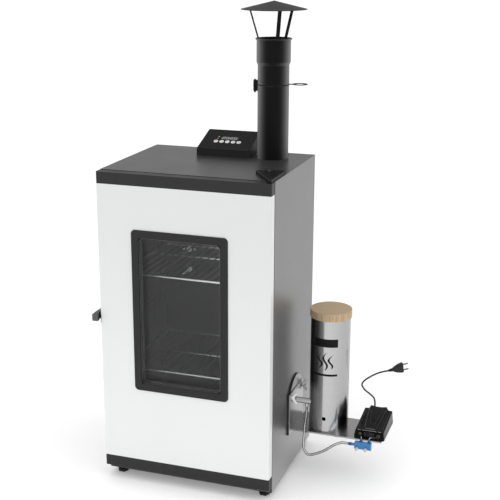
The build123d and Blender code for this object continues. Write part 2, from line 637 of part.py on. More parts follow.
LEG_TURNS = (-80.0, 40.0, 160.0)
LEG_TOP_Z = RAIN_CAP_Z + RAIN_CAP_RISE * (1 - LEG_TOP_R / RAIN_CAP_R) - 1.6

with BuildPart() as cap_legs:
    for turn in LEG_TURNS:
        outward = flue_direction(turn)
        side_plane = Plane(origin=(FLUE_X, FLUE_Y, 0), x_dir=outward, z_dir=outward.cross(Vector(0, 0, 1)))
        with BuildSketch(side_plane):
            with BuildLine():
                Polyline(
                    (LEG_FOOT_R, RIM_Z - 30),
                    (LEG_FOOT_R, RIM_Z + 4),
                    (LEG_TOP_R, LEG_TOP_Z),
                    (LEG_TOP_R - 14, LEG_TOP_Z + 14 * RAIN_CAP_RISE / RAIN_CAP_R),
                    (LEG_TOP_R - 14, LEG_TOP_Z + 14 * RAIN_CAP_RISE / RAIN_CAP_R - LEG_T),
                    (LEG_TOP_R - 2, LEG_TOP_Z - LEG_T),
                    (LEG_FOOT_R - LEG_T, RIM_Z + 4.5),
                    (LEG_FOOT_R - LEG_T, RIM_Z - 30),
                    close=True,
                )
            make_face()
        extrude(amount=LEG_W / 2, both=True)

with BuildPart() as chimney_cap:
    with BuildSketch(Plane.XZ) as cone_wall:
        with BuildLine():
            Polyline(
                (0, RAIN_CAP_Z + RAIN_CAP_RISE),
                (RAIN_CAP_R, RAIN_CAP_Z),
                (RAIN_CAP_R - 0.4, RAIN_CAP_Z - 1.4),
                (0, RAIN_CAP_Z + RAIN_CAP_RISE - 1.5),
                close=True,
            )
        make_face()
    revolve(cone_wall.sketch.moved(Location((FLUE_X, FLUE_Y, 0))), axis=Axis((FLUE_X, FLUE_Y, 0), (0, 0, 1)))

# ---------------------------------------------------------------- controller

CTRL_RUN = CTRL_BACK_Y - CTRL_FRONT_Y
CTRL_TILT = math.atan2(CTRL_BACK_H - CTRL_FRONT_H, CTRL_RUN)
CTRL_SLOPE = math.hypot(CTRL_BACK_H - CTRL_FRONT_H, CTRL_RUN)
CTRL_NORMAL = (0, -math.sin(CTRL_TILT), math.cos(CTRL_TILT))
PANEL_T = 2.0
CTRL_SIDES = (CTRL_X - CTRL_W / 2, CTRL_X + CTRL_W / 2)


def slope_plane(depth):
    """A plane parallel to the sloped face, depth below it, with its origin at the front edge."""
    surface = Plane(
        origin=(CTRL_X, CTRL_FRONT_Y, CAB_TOP + CTRL_FRONT_H),
        x_dir=(1, 0, 0),
        z_dir=CTRL_NORMAL,
    )
    return surface.offset(-depth)


def wedge(inset, drop):
    """The controller's side outline, set in by inset on its walls and lowered by drop on its slope."""
    front = CTRL_FRONT_Y + inset
    back = CTRL_BACK_Y - inset
    rise = math.tan(CTRL_TILT)
    lowered = CAB_TOP + CTRL_FRONT_H - drop / math.cos(CTRL_TILT)
    side = Plane(origin=(CTRL_SIDES[0] + inset, 0, 0), x_dir=(0, 1, 0), z_dir=(1, 0, 0))
    with BuildSketch(side) as outline:
        with BuildLine():
            Polyline(
                (front, CAB_TOP + inset),
                (back, CAB_TOP + inset),
                (back, lowered + rise * (back - CTRL_FRONT_Y)),
                (front, lowered + rise * inset),
                close=True,
            )
        make_face()
    return outline.sketch


with BuildPart() as controller_housing:
    extrude(wedge(0, PANEL_T), amount=CTRL_W)
    extrude(wedge(CTRL_WALL, 0), amount=CTRL_W - 2 * CTRL_WALL, mode=Mode.SUBTRACT)

BUTTON_X = [(step - 2) * BUTTON_PITCH for step in range(5)]
DISPLAY = (0.0, 74.0)
DISPLAY_SIZE = (57.0, 19.0)
LEDS = ((-37.5, 79.0), (-37.5, 67.0))

with BuildPart() as controller_panel:
    with BuildSketch(slope_plane(PANEL_T)):
        with Locations((0, CTRL_SLOPE / 2)):
            RectangleRounded(CTRL_W, CTRL_SLOPE, 3)
        with Locations([(x, BUTTON_UP) for x in BUTTON_X]):
            Circle(BUTTON_R + 0.25, mode=Mode.SUBTRACT)
        with Locations(DISPLAY):
            Rectangle(*DISPLAY_SIZE, mode=Mode.SUBTRACT)
        with Locations(LEDS):
            Circle(LED_R + 0.1, mode=Mode.SUBTRACT)
    extrude(amount=PANEL_T)

with BuildPart() as display_module:
    with BuildSketch(slope_plane(PANEL_T + 4)):
        with Locations(DISPLAY):
            Rectangle(DISPLAY_SIZE[0] - 0.4, DISPLAY_SIZE[1] - 0.4)
    extrude(amount=PANEL_T + 3.5)
    with BuildSketch(slope_plane(PANEL_T + 4)):
        with Locations(LEDS):
            Circle(LED_R)
    extrude(amount=PANEL_T + 5)

with BuildPart() as controller_board:
    with BuildSketch(slope_plane(PANEL_T + 6.1)):
        with Locations((0, CTRL_SLOPE / 2 + 4)):
            Rectangle(CTRL_W - 24, 78)
    extrude(amount=1.6)


def button(x):
    """A round key: its cap stands proud of the panel, and a collar keeps it from lifting out."""
    with BuildSketch(slope_plane(PANEL_T + 1.6)) as collar:
        with Locations((x, BUTTON_UP)):
            Circle(BUTTON_R + 1.2)
    extrude(collar.sketch, amount=1.4)
    with BuildSketch(slope_plane(PANEL_T + 0.3)) as cap:
        with Locations((x, BUTTON_UP)):
            Circle(BUTTON_R)
    extrude(cap.sketch, amount=PANEL_T + 1.8)
    chamfer(faces().sort_by(Axis((CTRL_X, CTRL_FRONT_Y, CAB_TOP), CTRL_NORMAL))[-1].edges(), 0.5)


with BuildPart() as button_1:
    button(BUTTON_X[0])

with BuildPart() as button_2:
    button(BUTTON_X[1])

with BuildPart() as button_3:
    button(BUTTON_X[2])

with BuildPart() as button_4:
    button(BUTTON_X[3])

with BuildPart() as button_5:
    button(BUTTON_X[4])

# ---------------------------------------------------------------- smoke generator and shelf

with BuildPart() as adapter_flange:
    rod((SIDE_X, SMOKE_PIPE_Y, FLANGE_Z), (BRACKET_X[0], SMOKE_PIPE_Y, FLANGE_Z), FLANGE_R)
    for y in STUDS_Y:
        rod((SIDE_X, y, STUD_Z), (SIDE_X + STUD_LENGTH, y, STUD_Z), STUD_R)
    rod((SIDE_X - 1, *PIPE_LINE), (BRACKET_X[0] + 1, *PIPE_LINE), SMOKE_PIPE_R + 0.2, Mode.SUBTRACT)

with BuildPart() as shelf_bracket:
    block(BRACKET_X, BRACKET_Y, (SHELF_TOP - SHELF_T, BRACKET_TOP))
    fillet(edges().filter_by(Axis.X).group_by(Axis.Z)[-1], 6)
    block((BRACKET_X[0], SHELF_END_X), SHELF_Y, (SHELF_TOP - SHELF_T, SHELF_TOP))
    for lip in ((SHELF_Y[0], SHELF_Y[0] + 2), (SHELF_Y[1] - 2, SHELF_Y[1])):
        block((BRACKET_X[0], SHELF_END_X), lip, (SHELF_TOP - SHELF_LIP, SHELF_TOP - SHELF_T))
    rod((SIDE_X, *PIPE_LINE), (BRACKET_X[1] + 1, *PIPE_LINE), SMOKE_PIPE_R + 0.2, Mode.SUBTRACT)
    for y in STUDS_Y:
        rod((SIDE_X, y, STUD_Z), (BRACKET_X[1] + 1, y, STUD_Z), STUD_R + 0.3, Mode.SUBTRACT)


def wing_nut(y):
    """A wing nut on its stud: a round hub with two upswept wings, one above and one below."""
    seat = BRACKET_X[1] + 0.1
    rod((seat, y, STUD_Z), (seat + WING_NUT_T, y, STUD_Z), WING_NUT_R)
    wing_plane = Plane(origin=(seat, y + WING_T / 2, STUD_Z), x_dir=(1, 0, 0), z_dir=(0, -1, 0))
    for side in (-1, 1):
        corners = [(1, 3), (6.5, 3), (14, 11), (14, 16), (9, 16), (1, 8)]
        with BuildSketch(wing_plane) as wing:
            with BuildLine():
                FilletPolyline(*[(out, side * across) for out, across in corners], radius=1.2, close=True)
            make_face()
        extrude(wing.sketch, amount=WING_T)
    bore = ((seat - 1, y, STUD_Z), (seat + WING_NUT_T + 2, y, STUD_Z))
    rod(*bore, STUD_R + RUNNING_GAP, Mode.SUBTRACT)


with BuildPart() as wing_nut_front:
    wing_nut(STUDS_Y[0])

with BuildPart() as wing_nut_rear:
    wing_nut(STUDS_Y[1])

with BuildPart() as generator_tube:
    rod((GEN_X, GEN_Y, SHELF_TOP), (GEN_X, GEN_Y, GEN_TOP), GEN_R)
    rod((GEN_X, GEN_Y, SHELF_TOP + GEN_FLOOR_T), (GEN_X, GEN_Y, GEN_TOP), GEN_R - GEN_WALL, Mode.SUBTRACT)
    rod((GEN_X, GEN_Y, AIR_HOLE_Z), (GEN_X, GEN_Y - GEN_R - 5, AIR_HOLE_Z), AIR_HOLE_R, Mode.SUBTRACT)
    rod((GEN_X - GEN_R - 5, *PIPE_LINE), (GEN_X, *PIPE_LINE), SMOKE_PIPE_R + 0.1, Mode.SUBTRACT)

GRATE_Z = 205.0
with BuildPart() as ash_grate:
    rod((GEN_X, GEN_Y, GRATE_Z), (GEN_X, GEN_Y, GRATE_Z + 1.5), GEN_R - GEN_WALL - 0.3)
    for radius, count in ((20, 6), (40, 12)):
        with Locations((GEN_X, GEN_Y, GRATE_Z)):
            with PolarLocations(radius, count):
                Cylinder(4.5, 8, mode=Mode.SUBTRACT)
    for step in range(3):
        angle = math.radians(120 * step + 30)
        x = GEN_X + 55 * math.cos(angle)
        y = GEN_Y + 55 * math.sin(angle)
        rod((x, y, SHELF_TOP + GEN_FLOOR_T), (x, y, GRATE_Z), 3)

with BuildPart() as generator_lid:
    rod((GEN_X, GEN_Y, GEN_TOP), (GEN_X, GEN_Y, GEN_TOP + LID_T), LID_R)
    fillet(faces().sort_by(Axis.Z)[-1].edges(), 1.5)
    fillet(faces().sort_by(Axis.Z)[0].edges(), 1)
    rod((GEN_X, GEN_Y, GEN_TOP - LID_PLUG), (GEN_X, GEN_Y, GEN_TOP + 1), GEN_R - GEN_WALL - 1.0)

with BuildPart() as smoke_outlet:
    pipe_ends = ((CHAMBER_X - 5, *PIPE_LINE), (GEN_X - GEN_R + 16, *PIPE_LINE))
    rod(*pipe_ends, SMOKE_PIPE_R)
    rod((NIPPLE_X, SMOKE_PIPE_Y, NIPPLE_COLLAR_Z), (NIPPLE_X, *PIPE_LINE), 5.5)
    rod((NIPPLE_X, SMOKE_PIPE_Y, NIPPLE_END_Z), (NIPPLE_X, *PIPE_LINE), BARB_R)
    rod(*pipe_ends, SMOKE_PIPE_R - SMOKE_PIPE_WALL, Mode.SUBTRACT)

# ---------------------------------------------------------------- air pump

PUMP_MIDDLE = (sum(PUMP_X) / 2, sum(PUMP_Y) / 2)
PUMP_SIZE = (PUMP_X[1] - PUMP_X[0], PUMP_Y[1] - PUMP_Y[0])


def pump_outline(z, shrink, radius, centre=PUMP_MIDDLE, size=PUMP_SIZE):
    """A rounded rectangle at height z, for the pump's lofted case."""
    with BuildSketch(Plane.XY.offset(z)) as outline:
        with Locations(centre):
            RectangleRounded(size[0] - 2 * shrink, size[1] - 2 * shrink, radius)
    return outline.sketch


with BuildPart() as pump_base:
    extrude(pump_outline(SHELF_TOP + PUMP_FOOT, 0.0, 7), amount=PUMP_SEAM_Z - SHELF_TOP - PUMP_FOOT)
    offset(amount=-PUMP_WALL, openings=faces().sort_by(Axis.Z)[-1])
    with BuildSketch(Plane.XY.offset(SHELF_TOP)):
        with Locations(PUMP_MIDDLE):
            with GridLocations(PUMP_SIZE[0] - 26, PUMP_SIZE[1] - 26, 2, 2):
                Circle(7)
    extrude(amount=PUMP_FOOT + 1)

with BuildPart() as pump_cover:
    loft([pump_outline(PUMP_SEAM_Z, 0.6, 7), pump_outline(PUMP_SHOULDER_Z, 4.5, 8)])
    hump = (PUMP_MIDDLE[0], PUMP_MIDDLE[1] + HUMP_BACK)
    hump_foot = pump_outline(PUMP_SHOULDER_Z - 1, 0, 12, hump, HUMP_SIZE)
    loft([hump_foot, pump_outline(PUMP_HUMP_Z, 11, 9, hump, HUMP_SIZE)])
    inside = [pump_outline(PUMP_SEAM_Z, 0.6 + PUMP_WALL, 5), pump_outline(PUMP_SHOULDER_Z - PUMP_WALL, 4.5 + PUMP_WALL, 6)]
    loft(inside, mode=Mode.SUBTRACT)
    hump_hollow = pump_outline(PUMP_SHOULDER_Z - PUMP_WALL - 1, PUMP_WALL, 10, hump, HUMP_SIZE)
    loft([hump_hollow, pump_outline(PUMP_HUMP_Z - PUMP_WALL, 12, 7, hump, HUMP_SIZE)], mode=Mode.SUBTRACT)
    for x in NOZZLE_X:
        rod((x, PUMP_Y[0] - 5, NOZZLE_Z), (x, PUMP_Y[0] + 20, NOZZLE_Z), NOZZLE_R + 0.4, Mode.SUBTRACT)
    rod((LEAD_X, PUMP_Y[1] - 20, LEAD_Z), (LEAD_X, PUMP_Y[1] + 5, LEAD_Z), LEAD_BOOT_R + 0.4, Mode.SUBTRACT)

with BuildPart() as pump_drive:
    bellows_y = (PUMP_Y[0] + BELLOWS_Y[0], PUMP_Y[0] + BELLOWS_Y[1])
    for x in NOZZLE_X:
        block((x - 11, x + 8), bellows_y, BELLOWS_Z)
        rod((x, PUMP_Y[0] - 4, NOZZLE_Z), (x, bellows_y[0] + 1, NOZZLE_Z), NOZZLE_R)
        rod((x, PUMP_Y[0] - 4 - BARB_SHORT, NOZZLE_Z), (x, PUMP_Y[0], NOZZLE_Z), BARB_R)
    block(COIL_X, COIL_Y, COIL_Z)
    for x in ARM_X:
        rod((x, bellows_y[1] - 1, NOZZLE_Z), (x, COIL_Y[0] + 2, NOZZLE_Z), ARM_R)

with BuildPart() as air_manifold:
    manifold_y = (MANIFOLD_Y - MANIFOLD_HALF[0], MANIFOLD_Y + MANIFOLD_HALF[0])
    manifold_z = (MANIFOLD_Z - MANIFOLD_HALF[1], MANIFOLD_Z + MANIFOLD_HALF[1])
    block(MANIFOLD_X, manifold_y, manifold_z)
    fillet(edges().filter_by(Axis.X), 3)
    neck_end = MANIFOLD_X[0] - MANIFOLD_NECK
    rod((neck_end, MANIFOLD_Y, MANIFOLD_Z), (MANIFOLD_X[0] + 1, MANIFOLD_Y, MANIFOLD_Z), MANIFOLD_NECK_R)
    rod((neck_end - BARB_LENGTH, MANIFOLD_Y, MANIFOLD_Z), (neck_end + 1, MANIFOLD_Y, MANIFOLD_Z), BARB_R)
    collar_top = manifold_z[1] + BARB_COLLAR[1]
    for x in BARB_X:
        rod((x, MANIFOLD_Y, manifold_z[1] - 1), (x, MANIFOLD_Y, collar_top), BARB_COLLAR[0])
        rod((x, MANIFOLD_Y, collar_top), (x, MANIFOLD_Y, collar_top + BARB_SHORT), BARB_R)
    for x in KNOB_X:
        rod((x, manifold_y[0] - 12, KNOB_Z), (x, MANIFOLD_Y, KNOB_Z), KNOB_STEM_R)


def valve_knob(x):
    """A white needle-valve knob on its stem, with a grip bar across its face."""
    face_y = manifold_y[0] - 8
    rod((x, face_y, KNOB_Z), (x, manifold_y[0] - 0.3, KNOB_Z), KNOB_R)
    block((x - 1, x + 1), (face_y - 4, face_y), (KNOB_Z - 4, KNOB_Z + 4))
    rod((x, face_y - 5, KNOB_Z), (x, manifold_y[0], KNOB_Z), KNOB_STEM_R + RUNNING_GAP, Mode.SUBTRACT)


with BuildPart() as valve_knob_1:
    valve_knob(KNOB_X[0])

with BuildPart() as valve_knob_2:
    valve_knob(KNOB_X[1])


def bent_tube(points, start_dir, end_dir, radius, straight):
    """A round cord or hose: straight at both ends, and one smooth bend through the points between."""
    start = Vector(*points[0])
    end = Vector(*points[-1])
    bend_start = start + Vector(*start_dir) * straight
    bend_end = end - Vector(*end_dir) * straight
    with BuildLine() as centre_line:
        Line(start, bend_start)
        Spline(bend_start, *points[1:-1], bend_end, tangents=(start_dir, end_dir))
        Line(bend_end, end)
    with BuildSketch(Plane(origin=start, z_dir=start_dir)) as section:
        Circle(radius)
    sweep(section.sketch, path=centre_line.line)


def hose(points, start_dir, end_dir, grip=BARB_LENGTH):
    """A soft tube whose bored ends slip over barbs."""
    bent_tube(points, start_dir, end_dir, HOSE_R, grip)
    start = Vector(*points[0])
    end = Vector(*points[-1])
    rod(start, start + Vector(*start_dir) * (grip - 1), HOSE_BORE_R, Mode.SUBTRACT)
    rod(end - Vector(*end_dir) * (grip - 1), end, HOSE_BORE_R, Mode.SUBTRACT)


with BuildPart() as air_hoses:
    hose(
        [
            (NIPPLE_X, SMOKE_PIPE_Y, NIPPLE_COLLAR_Z - 3),
            (322, -36, 150),
            (352, MANIFOLD_Y, 90),
            (neck_end - 1, MANIFOLD_Y, MANIFOLD_Z),
        ],
        (0, 0, -1),
        (1, 0, 0),
    )
    for nozzle, barb in zip(NOZZLE_X, BARB_X):
        hose(
            [(nozzle, PUMP_Y[0] - 5, NOZZLE_Z), (barb, MANIFOLD_Y, collar_top + 1)],
            (0, -1, 0),
            (0, 0, -1),
            grip=BARB_SHORT,
        )

with BuildPart() as pump_lead:
    lead_back = PUMP_Y[1]
    bent_tube(
        [
            (LEAD_X, lead_back - 6, LEAD_Z),
            (498, lead_back + 15, 238),
            (470, lead_back + 13, 268),
            (500, lead_back + 11, 303),
            PLUG_START,
        ],
        (0, 1, 0),
        tuple(PLUG_AXIS),
        LEAD_R,
        10,
    )
    rod((LEAD_X, lead_back - 8, LEAD_Z), (LEAD_X, lead_back + 3, LEAD_Z), LEAD_BOOT_R)
    plug_plane = Plane(origin=PLUG_START, x_dir=(-PLUG_AXIS.Y, PLUG_AXIS.X, 0), z_dir=tuple(PLUG_AXIS))
    with BuildSketch(plug_plane) as plug_tail:
        RectangleRounded(8, 10, 3)
    with BuildSketch(plug_plane.offset(PLUG_LENGTH * 0.72)) as plug_shoulder:
        RectangleRounded(16, 32, 7)
    with BuildSketch(plug_plane.offset(PLUG_LENGTH)) as plug_face:
        RectangleRounded(16, 35, 7)
    loft([plug_tail.sketch, plug_shoulder.sketch])
    loft([plug_shoulder.sketch, plug_face.sketch])
    with BuildSketch(plug_plane.offset(PLUG_LENGTH)) as pin_circles:
        with GridLocations(1, PLUG_PIN_SPACING, 1, 2):
            Circle(PLUG_PIN_R)
    extrude(pin_circles.sketch, amount=PLUG_PIN_LENGTH)

# ---------------------------------------------------------------- small screws

with BuildPart() as fixing_screws:
    for seat, direction in BACK_SCREWS + HINGE_SCREWS + BRACKET_SCREWS + FLUE_SCREWS:
        screw(seat, direction)

# ---------------------------------------------------------------- output

pieces = {
    "left_side_panel": left_side_panel,
    "right_side_panel": right_side_panel,
    "back_panel": back_panel,
    "top_cover": top_cover,
    "base_pan": base_pan,
    "levelling_feet": levelling_feet,
    "inner_liner": inner_liner,
    "cabinet_insulation": cabinet_insulation,
    "power_inlet": power_inlet,
    "top_hinge_plate": top_hinge_plate,
    "bottom_hinge_bracket": bottom_hinge_bracket,
    "latch_keeper": latch_keeper,
    "rack_supports": rack_supports,
    "lower_rack": lower_rack,
    "upper_rack": upper_rack,
    "drip_tray": drip_tray,
    "heat_deflector": heat_deflector,
    "heating_element": heating_element,
    "temperature_probes": temperature_probes,
    "door_skin": door_skin,
    "door_top_cap": door_top_cap,
    "door_bottom_cap": door_bottom_cap,
    "door_inner_panel": door_inner_panel,
    "door_insulation": door_insulation,
    "window_bezel": window_bezel,
    "window_panes": window_panes,
    "door_gasket": door_gasket,
    "latch_base": latch_base,
    "latch_lever": latch_lever,
    "chimney_pipe": chimney_pipe,
    "damper_pivot": damper_pivot,
    "damper_plate": damper_plate,
    "cap_legs": cap_legs,
    "chimney_cap": chimney_cap,
    "controller_housing": controller_housing,
    "controller_panel": controller_panel,
    "display_module": display_module,
    "controller_board": controller_board,
    "button_1": button_1,
    "button_2": button_2,
    "button_3": button_3,
    "button_4": button_4,
    "button_5": button_5,
    "adapter_flange": adapter_flange,
    "shelf_bracket": shelf_bracket,
    "wing_nut_front": wing_nut_front,
    "wing_nut_rear": wing_nut_rear,
    "generator_tube": generator_tube,
    "ash_grate": ash_grate,
    "generator_lid": generator_lid,
    "smoke_outlet": smoke_outlet,
    "pump_base": pump_base,
    "pump_cover": pump_cover,
    "pump_drive": pump_drive,
    "air_manifold": air_manifold,
    "valve_knob_1": valve_knob_1,
    "valve_knob_2": valve_knob_2,
    "air_hoses": air_hoses,
    "pump_lead": pump_lead,
    "fixing_screws": fixing_screws,
}

os.makedirs("parts", exist_ok=True)
for name, piece in pieces.items():
    piece.part.label = name
    export_step(piece.part, f"parts/{name}.step")
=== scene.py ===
"""The look of an upright smoking cabinet with a roof chimney and an external smoke generator.

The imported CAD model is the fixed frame. This script gives every part its material, builds the finer pieces
that the CAD solids stand for, and sets the studio, the lights and the camera. Lengths are in metres.
"""

import json
import math

import bmesh
import bpy
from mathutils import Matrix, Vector


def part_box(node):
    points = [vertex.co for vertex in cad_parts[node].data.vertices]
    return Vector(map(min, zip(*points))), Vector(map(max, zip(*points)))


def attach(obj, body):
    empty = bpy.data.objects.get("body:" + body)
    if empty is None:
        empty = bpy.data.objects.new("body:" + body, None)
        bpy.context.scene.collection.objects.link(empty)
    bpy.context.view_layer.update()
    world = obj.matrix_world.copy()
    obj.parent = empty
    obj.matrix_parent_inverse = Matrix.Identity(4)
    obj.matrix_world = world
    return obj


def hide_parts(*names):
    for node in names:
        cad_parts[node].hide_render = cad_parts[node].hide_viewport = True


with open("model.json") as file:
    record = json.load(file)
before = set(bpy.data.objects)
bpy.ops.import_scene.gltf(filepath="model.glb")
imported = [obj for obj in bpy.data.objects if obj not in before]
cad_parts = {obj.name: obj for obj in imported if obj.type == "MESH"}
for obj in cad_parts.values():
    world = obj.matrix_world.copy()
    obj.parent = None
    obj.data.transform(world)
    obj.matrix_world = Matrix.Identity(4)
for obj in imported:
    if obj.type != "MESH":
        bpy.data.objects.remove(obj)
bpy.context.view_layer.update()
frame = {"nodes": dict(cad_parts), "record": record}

MM = 0.001
nodes = frame["nodes"]
UP = Vector((0, 0, 1))


# ---- material graphs


class Graph:
    """A material's node tree, with short ways to add nodes and join them."""

    def __init__(self, name):
        self.material = bpy.data.materials.new(name)
        self.material.use_nodes = True
        self.nodes = self.material.node_tree.nodes
        self.links = self.material.node_tree.links
        self.shader = self.nodes["Principled BSDF"]
        self.output = self.nodes["Material Output"]
        self.place = self.node("ShaderNodeTexCoord").outputs["Object"]

    def node(self, kind, values=None, **settings):
        made = self.nodes.new(kind)
        for key, value in settings.items():
            setattr(made, key, value)
        for socket, value in (values or {}).items():
            self.join(made.inputs[socket], value)
        return made

    def join(self, socket, value):
        if isinstance(value, bpy.types.NodeSocket):
            self.links.new(value, socket)
        else:
            socket.default_value = value

    def finish(self, **values):
        for socket, value in values.items():
            self.join(self.shader.inputs[socket.replace("_", " ")], value)
        return self.material

    def noise(self, size, stretch=(1, 1, 1), detail=2.0, distort=0.0):
        """A noise from 0 to 1 whose features are about size long, times stretch on each axis."""
        scale = tuple(1 / (size * s) for s in stretch)
        spot = self.node("ShaderNodeMapping", {"Vector": self.place, "Scale": scale}).outputs[0]
        values = {"Vector": spot, "Scale": 1.0, "Detail": detail, "Distortion": distort}
        return self.node("ShaderNodeTexNoise", values).outputs[0]

    def span(self, factor, low, high, at=(0.0, 1.0)):
        """A number that goes smoothly from low to high as factor goes through at."""
        values = {0: factor, 1: at[0], 2: at[1], 3: low, 4: high}
        return self.node("ShaderNodeMapRange", values, interpolation_type="SMOOTHSTEP").outputs[0]

    def blend(self, factor, a, b, kind="MIX"):
        """A colour between a and b."""
        a, b = (c if isinstance(c, bpy.types.NodeSocket) else (*c[:3], 1) for c in (a, b))
        mix = self.node("ShaderNodeMix", data_type="RGBA", blend_type=kind)
        self.join(mix.inputs[0], factor)
        self.join(mix.inputs[6], a)
        self.join(mix.inputs[7], b)
        return mix.outputs[2]

    def math(self, operation, a, b=0.0):
        return self.node("ShaderNodeMath", {0: a, 1: b}, operation=operation).outputs[0]

    def axis(self, name, source=None):
        """One coordinate of a place or a direction."""
        split = self.node("ShaderNodeSeparateXYZ", {0: source or self.place})
        return split.outputs[name]

    def bump(self, height, depth, normal=None):
        values = {"Height": height, "Distance": depth}
        if normal:
            values["Normal"] = normal
        return self.node("ShaderNodeBump", values).outputs[0]

    def relief(self, height, depth, radius=0.0008):
        """A bump over rounded edges."""
        return self.bump(height, depth, normal=self.rounded(radius))

    def over(self, base, colour, mask, share):
        """A colour laid over the base where the mask is, and at most by share."""
        return self.blend(self.times(mask, share), base, colour)

    def times(self, *factors):
        """Masks multiplied together."""
        result = factors[0]
        for factor in factors[1:]:
            result = self.math("MULTIPLY", result, factor)
        return result

    def surface(self, kind="Normal"):
        """The direction in which the surface faces."""
        return self.node("ShaderNodeNewGeometry").outputs[kind]

    def rounded(self, radius):
        """The surface direction with its sharp edges rounded off."""
        return self.node("ShaderNodeBevel", {"Radius": radius}, samples=4).outputs[0]

    def edges(self, radius):
        """1 along sharp edges and 0 on open faces."""
        pair = {0: self.rounded(radius), 1: self.surface()}
        dot = self.node("ShaderNodeVectorMath", pair, operation="DOT_PRODUCT")
        return self.span(dot.outputs["Value"], 1.0, 0.0, at=(0.80, 0.995))

    def facing(self, blend=0.5):
        """0 where the surface faces the eye and 1 at its outline."""
        return self.node("ShaderNodeLayerWeight", {"Blend": blend}).outputs["Facing"]


def shade(value):
    return (value, value, value)


def painted(name, dark, light, roughness, peel, edge, coat=0.0, top=None):
    """Sprayed paint on sheet steel: a faint cloudiness, orange peel, and an edge colour that is partly paint thinned
    on the edges and partly painted edge light; top, when given, is a painted shade towards the panel's top.
    """
    g = Graph(name)
    cloud = g.noise(0.25, detail=1)
    colour = g.blend(cloud, dark, light)
    if top:
        # painted shade: the colour turns to top towards the panel's top
        colour = g.blend(g.span(g.axis("Z"), 0.0, 1.0, at=(0.10, 0.95)), colour, top)
    # edge colour: partly thinned paint, partly painted edge light
    colour = g.over(colour, edge, g.edges(0.0012), 0.35)
    rough = g.span(g.noise(0.15, detail=2), roughness - 0.015, roughness + 0.015, at=(0.3, 0.7))
    normal = g.relief(g.noise(0.0016, detail=2), peel)
    return g.finish(Base_Color=colour, Roughness=rough, Normal=normal, Coat_Weight=coat, Coat_Roughness=0.12)


def moulded(name, dark, light, roughness, grain, grain_size=0.0007, shine=0.3, edge=None):
    """Moulded plastic or rubber with a fine spark-eroded grain, and paler edges that are partly rubbed and partly a
    painted edge highlight.
    """
    g = Graph(name)
    colour = g.blend(g.noise(0.05, detail=3), dark, light)
    # edge colour: partly rubbing wear, partly a painted edge highlight
    worn_and_lit_edge = edge or tuple(3 * c + 0.01 for c in light)
    colour = g.over(colour, worn_and_lit_edge, g.edges(0.0015), 0.4)
    rough = g.span(g.noise(0.06, detail=2), roughness - 0.03, roughness + 0.03, at=(0.3, 0.7))
    normal = g.relief(g.noise(grain_size, detail=1), grain, 0.001)
    return g.finish(Base_Color=colour, Roughness=rough, Normal=normal, Specular_IOR_Level=shine)


def brushed(name, colour, roughness, along=(1, 1, 40), tint=None, depth=0.00002, smudge=0.06, metal=1.0):
    """Brushed steel: fine scratches that run along one direction, soft rolling marks, and paler edges that are partly
    rubbed and partly a painted edge highlight.
    """
    g = Graph(name)
    scratch = g.noise(0.0006, stretch=along, detail=3)
    band = g.noise(0.02, stretch=along, detail=2)
    base = g.blend(scratch, tuple(0.82 * c for c in colour), tuple(1.14 * c for c in colour))
    base = g.over(base, tint or tuple(0.8 * c for c in colour), band, 0.3)
    # paler edges: partly rubbed, partly a painted edge highlight
    base = g.over(base, shade(0.8), g.edges(0.001), 0.5)
    wipe = g.noise(0.06, detail=4, distort=0.6)
    smear = g.span(wipe, 0.0, smudge, at=(0.45, 0.8))
    rough = g.math("ADD", g.span(scratch, roughness - 0.05, roughness + 0.07), smear)
    normal = g.relief(scratch, depth)
    return g.finish(Base_Color=base, Metallic=metal, Roughness=rough, Normal=normal)


def cabinet_brushed():
    """Brushed cabinet sheet, upright grain; its foot picks up light from the floor."""
    g = Graph("cabinet_brushed")
    scratch = g.noise(0.0006, stretch=(30, 30, 1), detail=3)
    band = g.noise(0.02, stretch=(30, 30, 1), detail=2)
    foot = g.span(g.axis("Z"), 1.0, 0.0, at=(0.05, 0.34))
    base = g.blend(scratch, shade(0.195), shade(0.252))
    base = g.over(base, shade(0.19), band, 0.3)
    base = g.blend(foot, base, shade(0.41))
    # paler edges: partly rubbed, partly a painted edge highlight
    base = g.over(base, shade(0.8), g.edges(0.001), 0.5)
    wipe = g.span(g.noise(0.06, detail=4, distort=0.6), 0.0, 0.03)
    rough = g.math("ADD", g.span(scratch, 0.31, 0.43), wipe)
    normal = g.relief(scratch, 0.00002)
    return g.finish(Base_Color=base, Metallic=1.0, Roughness=rough, Normal=normal)


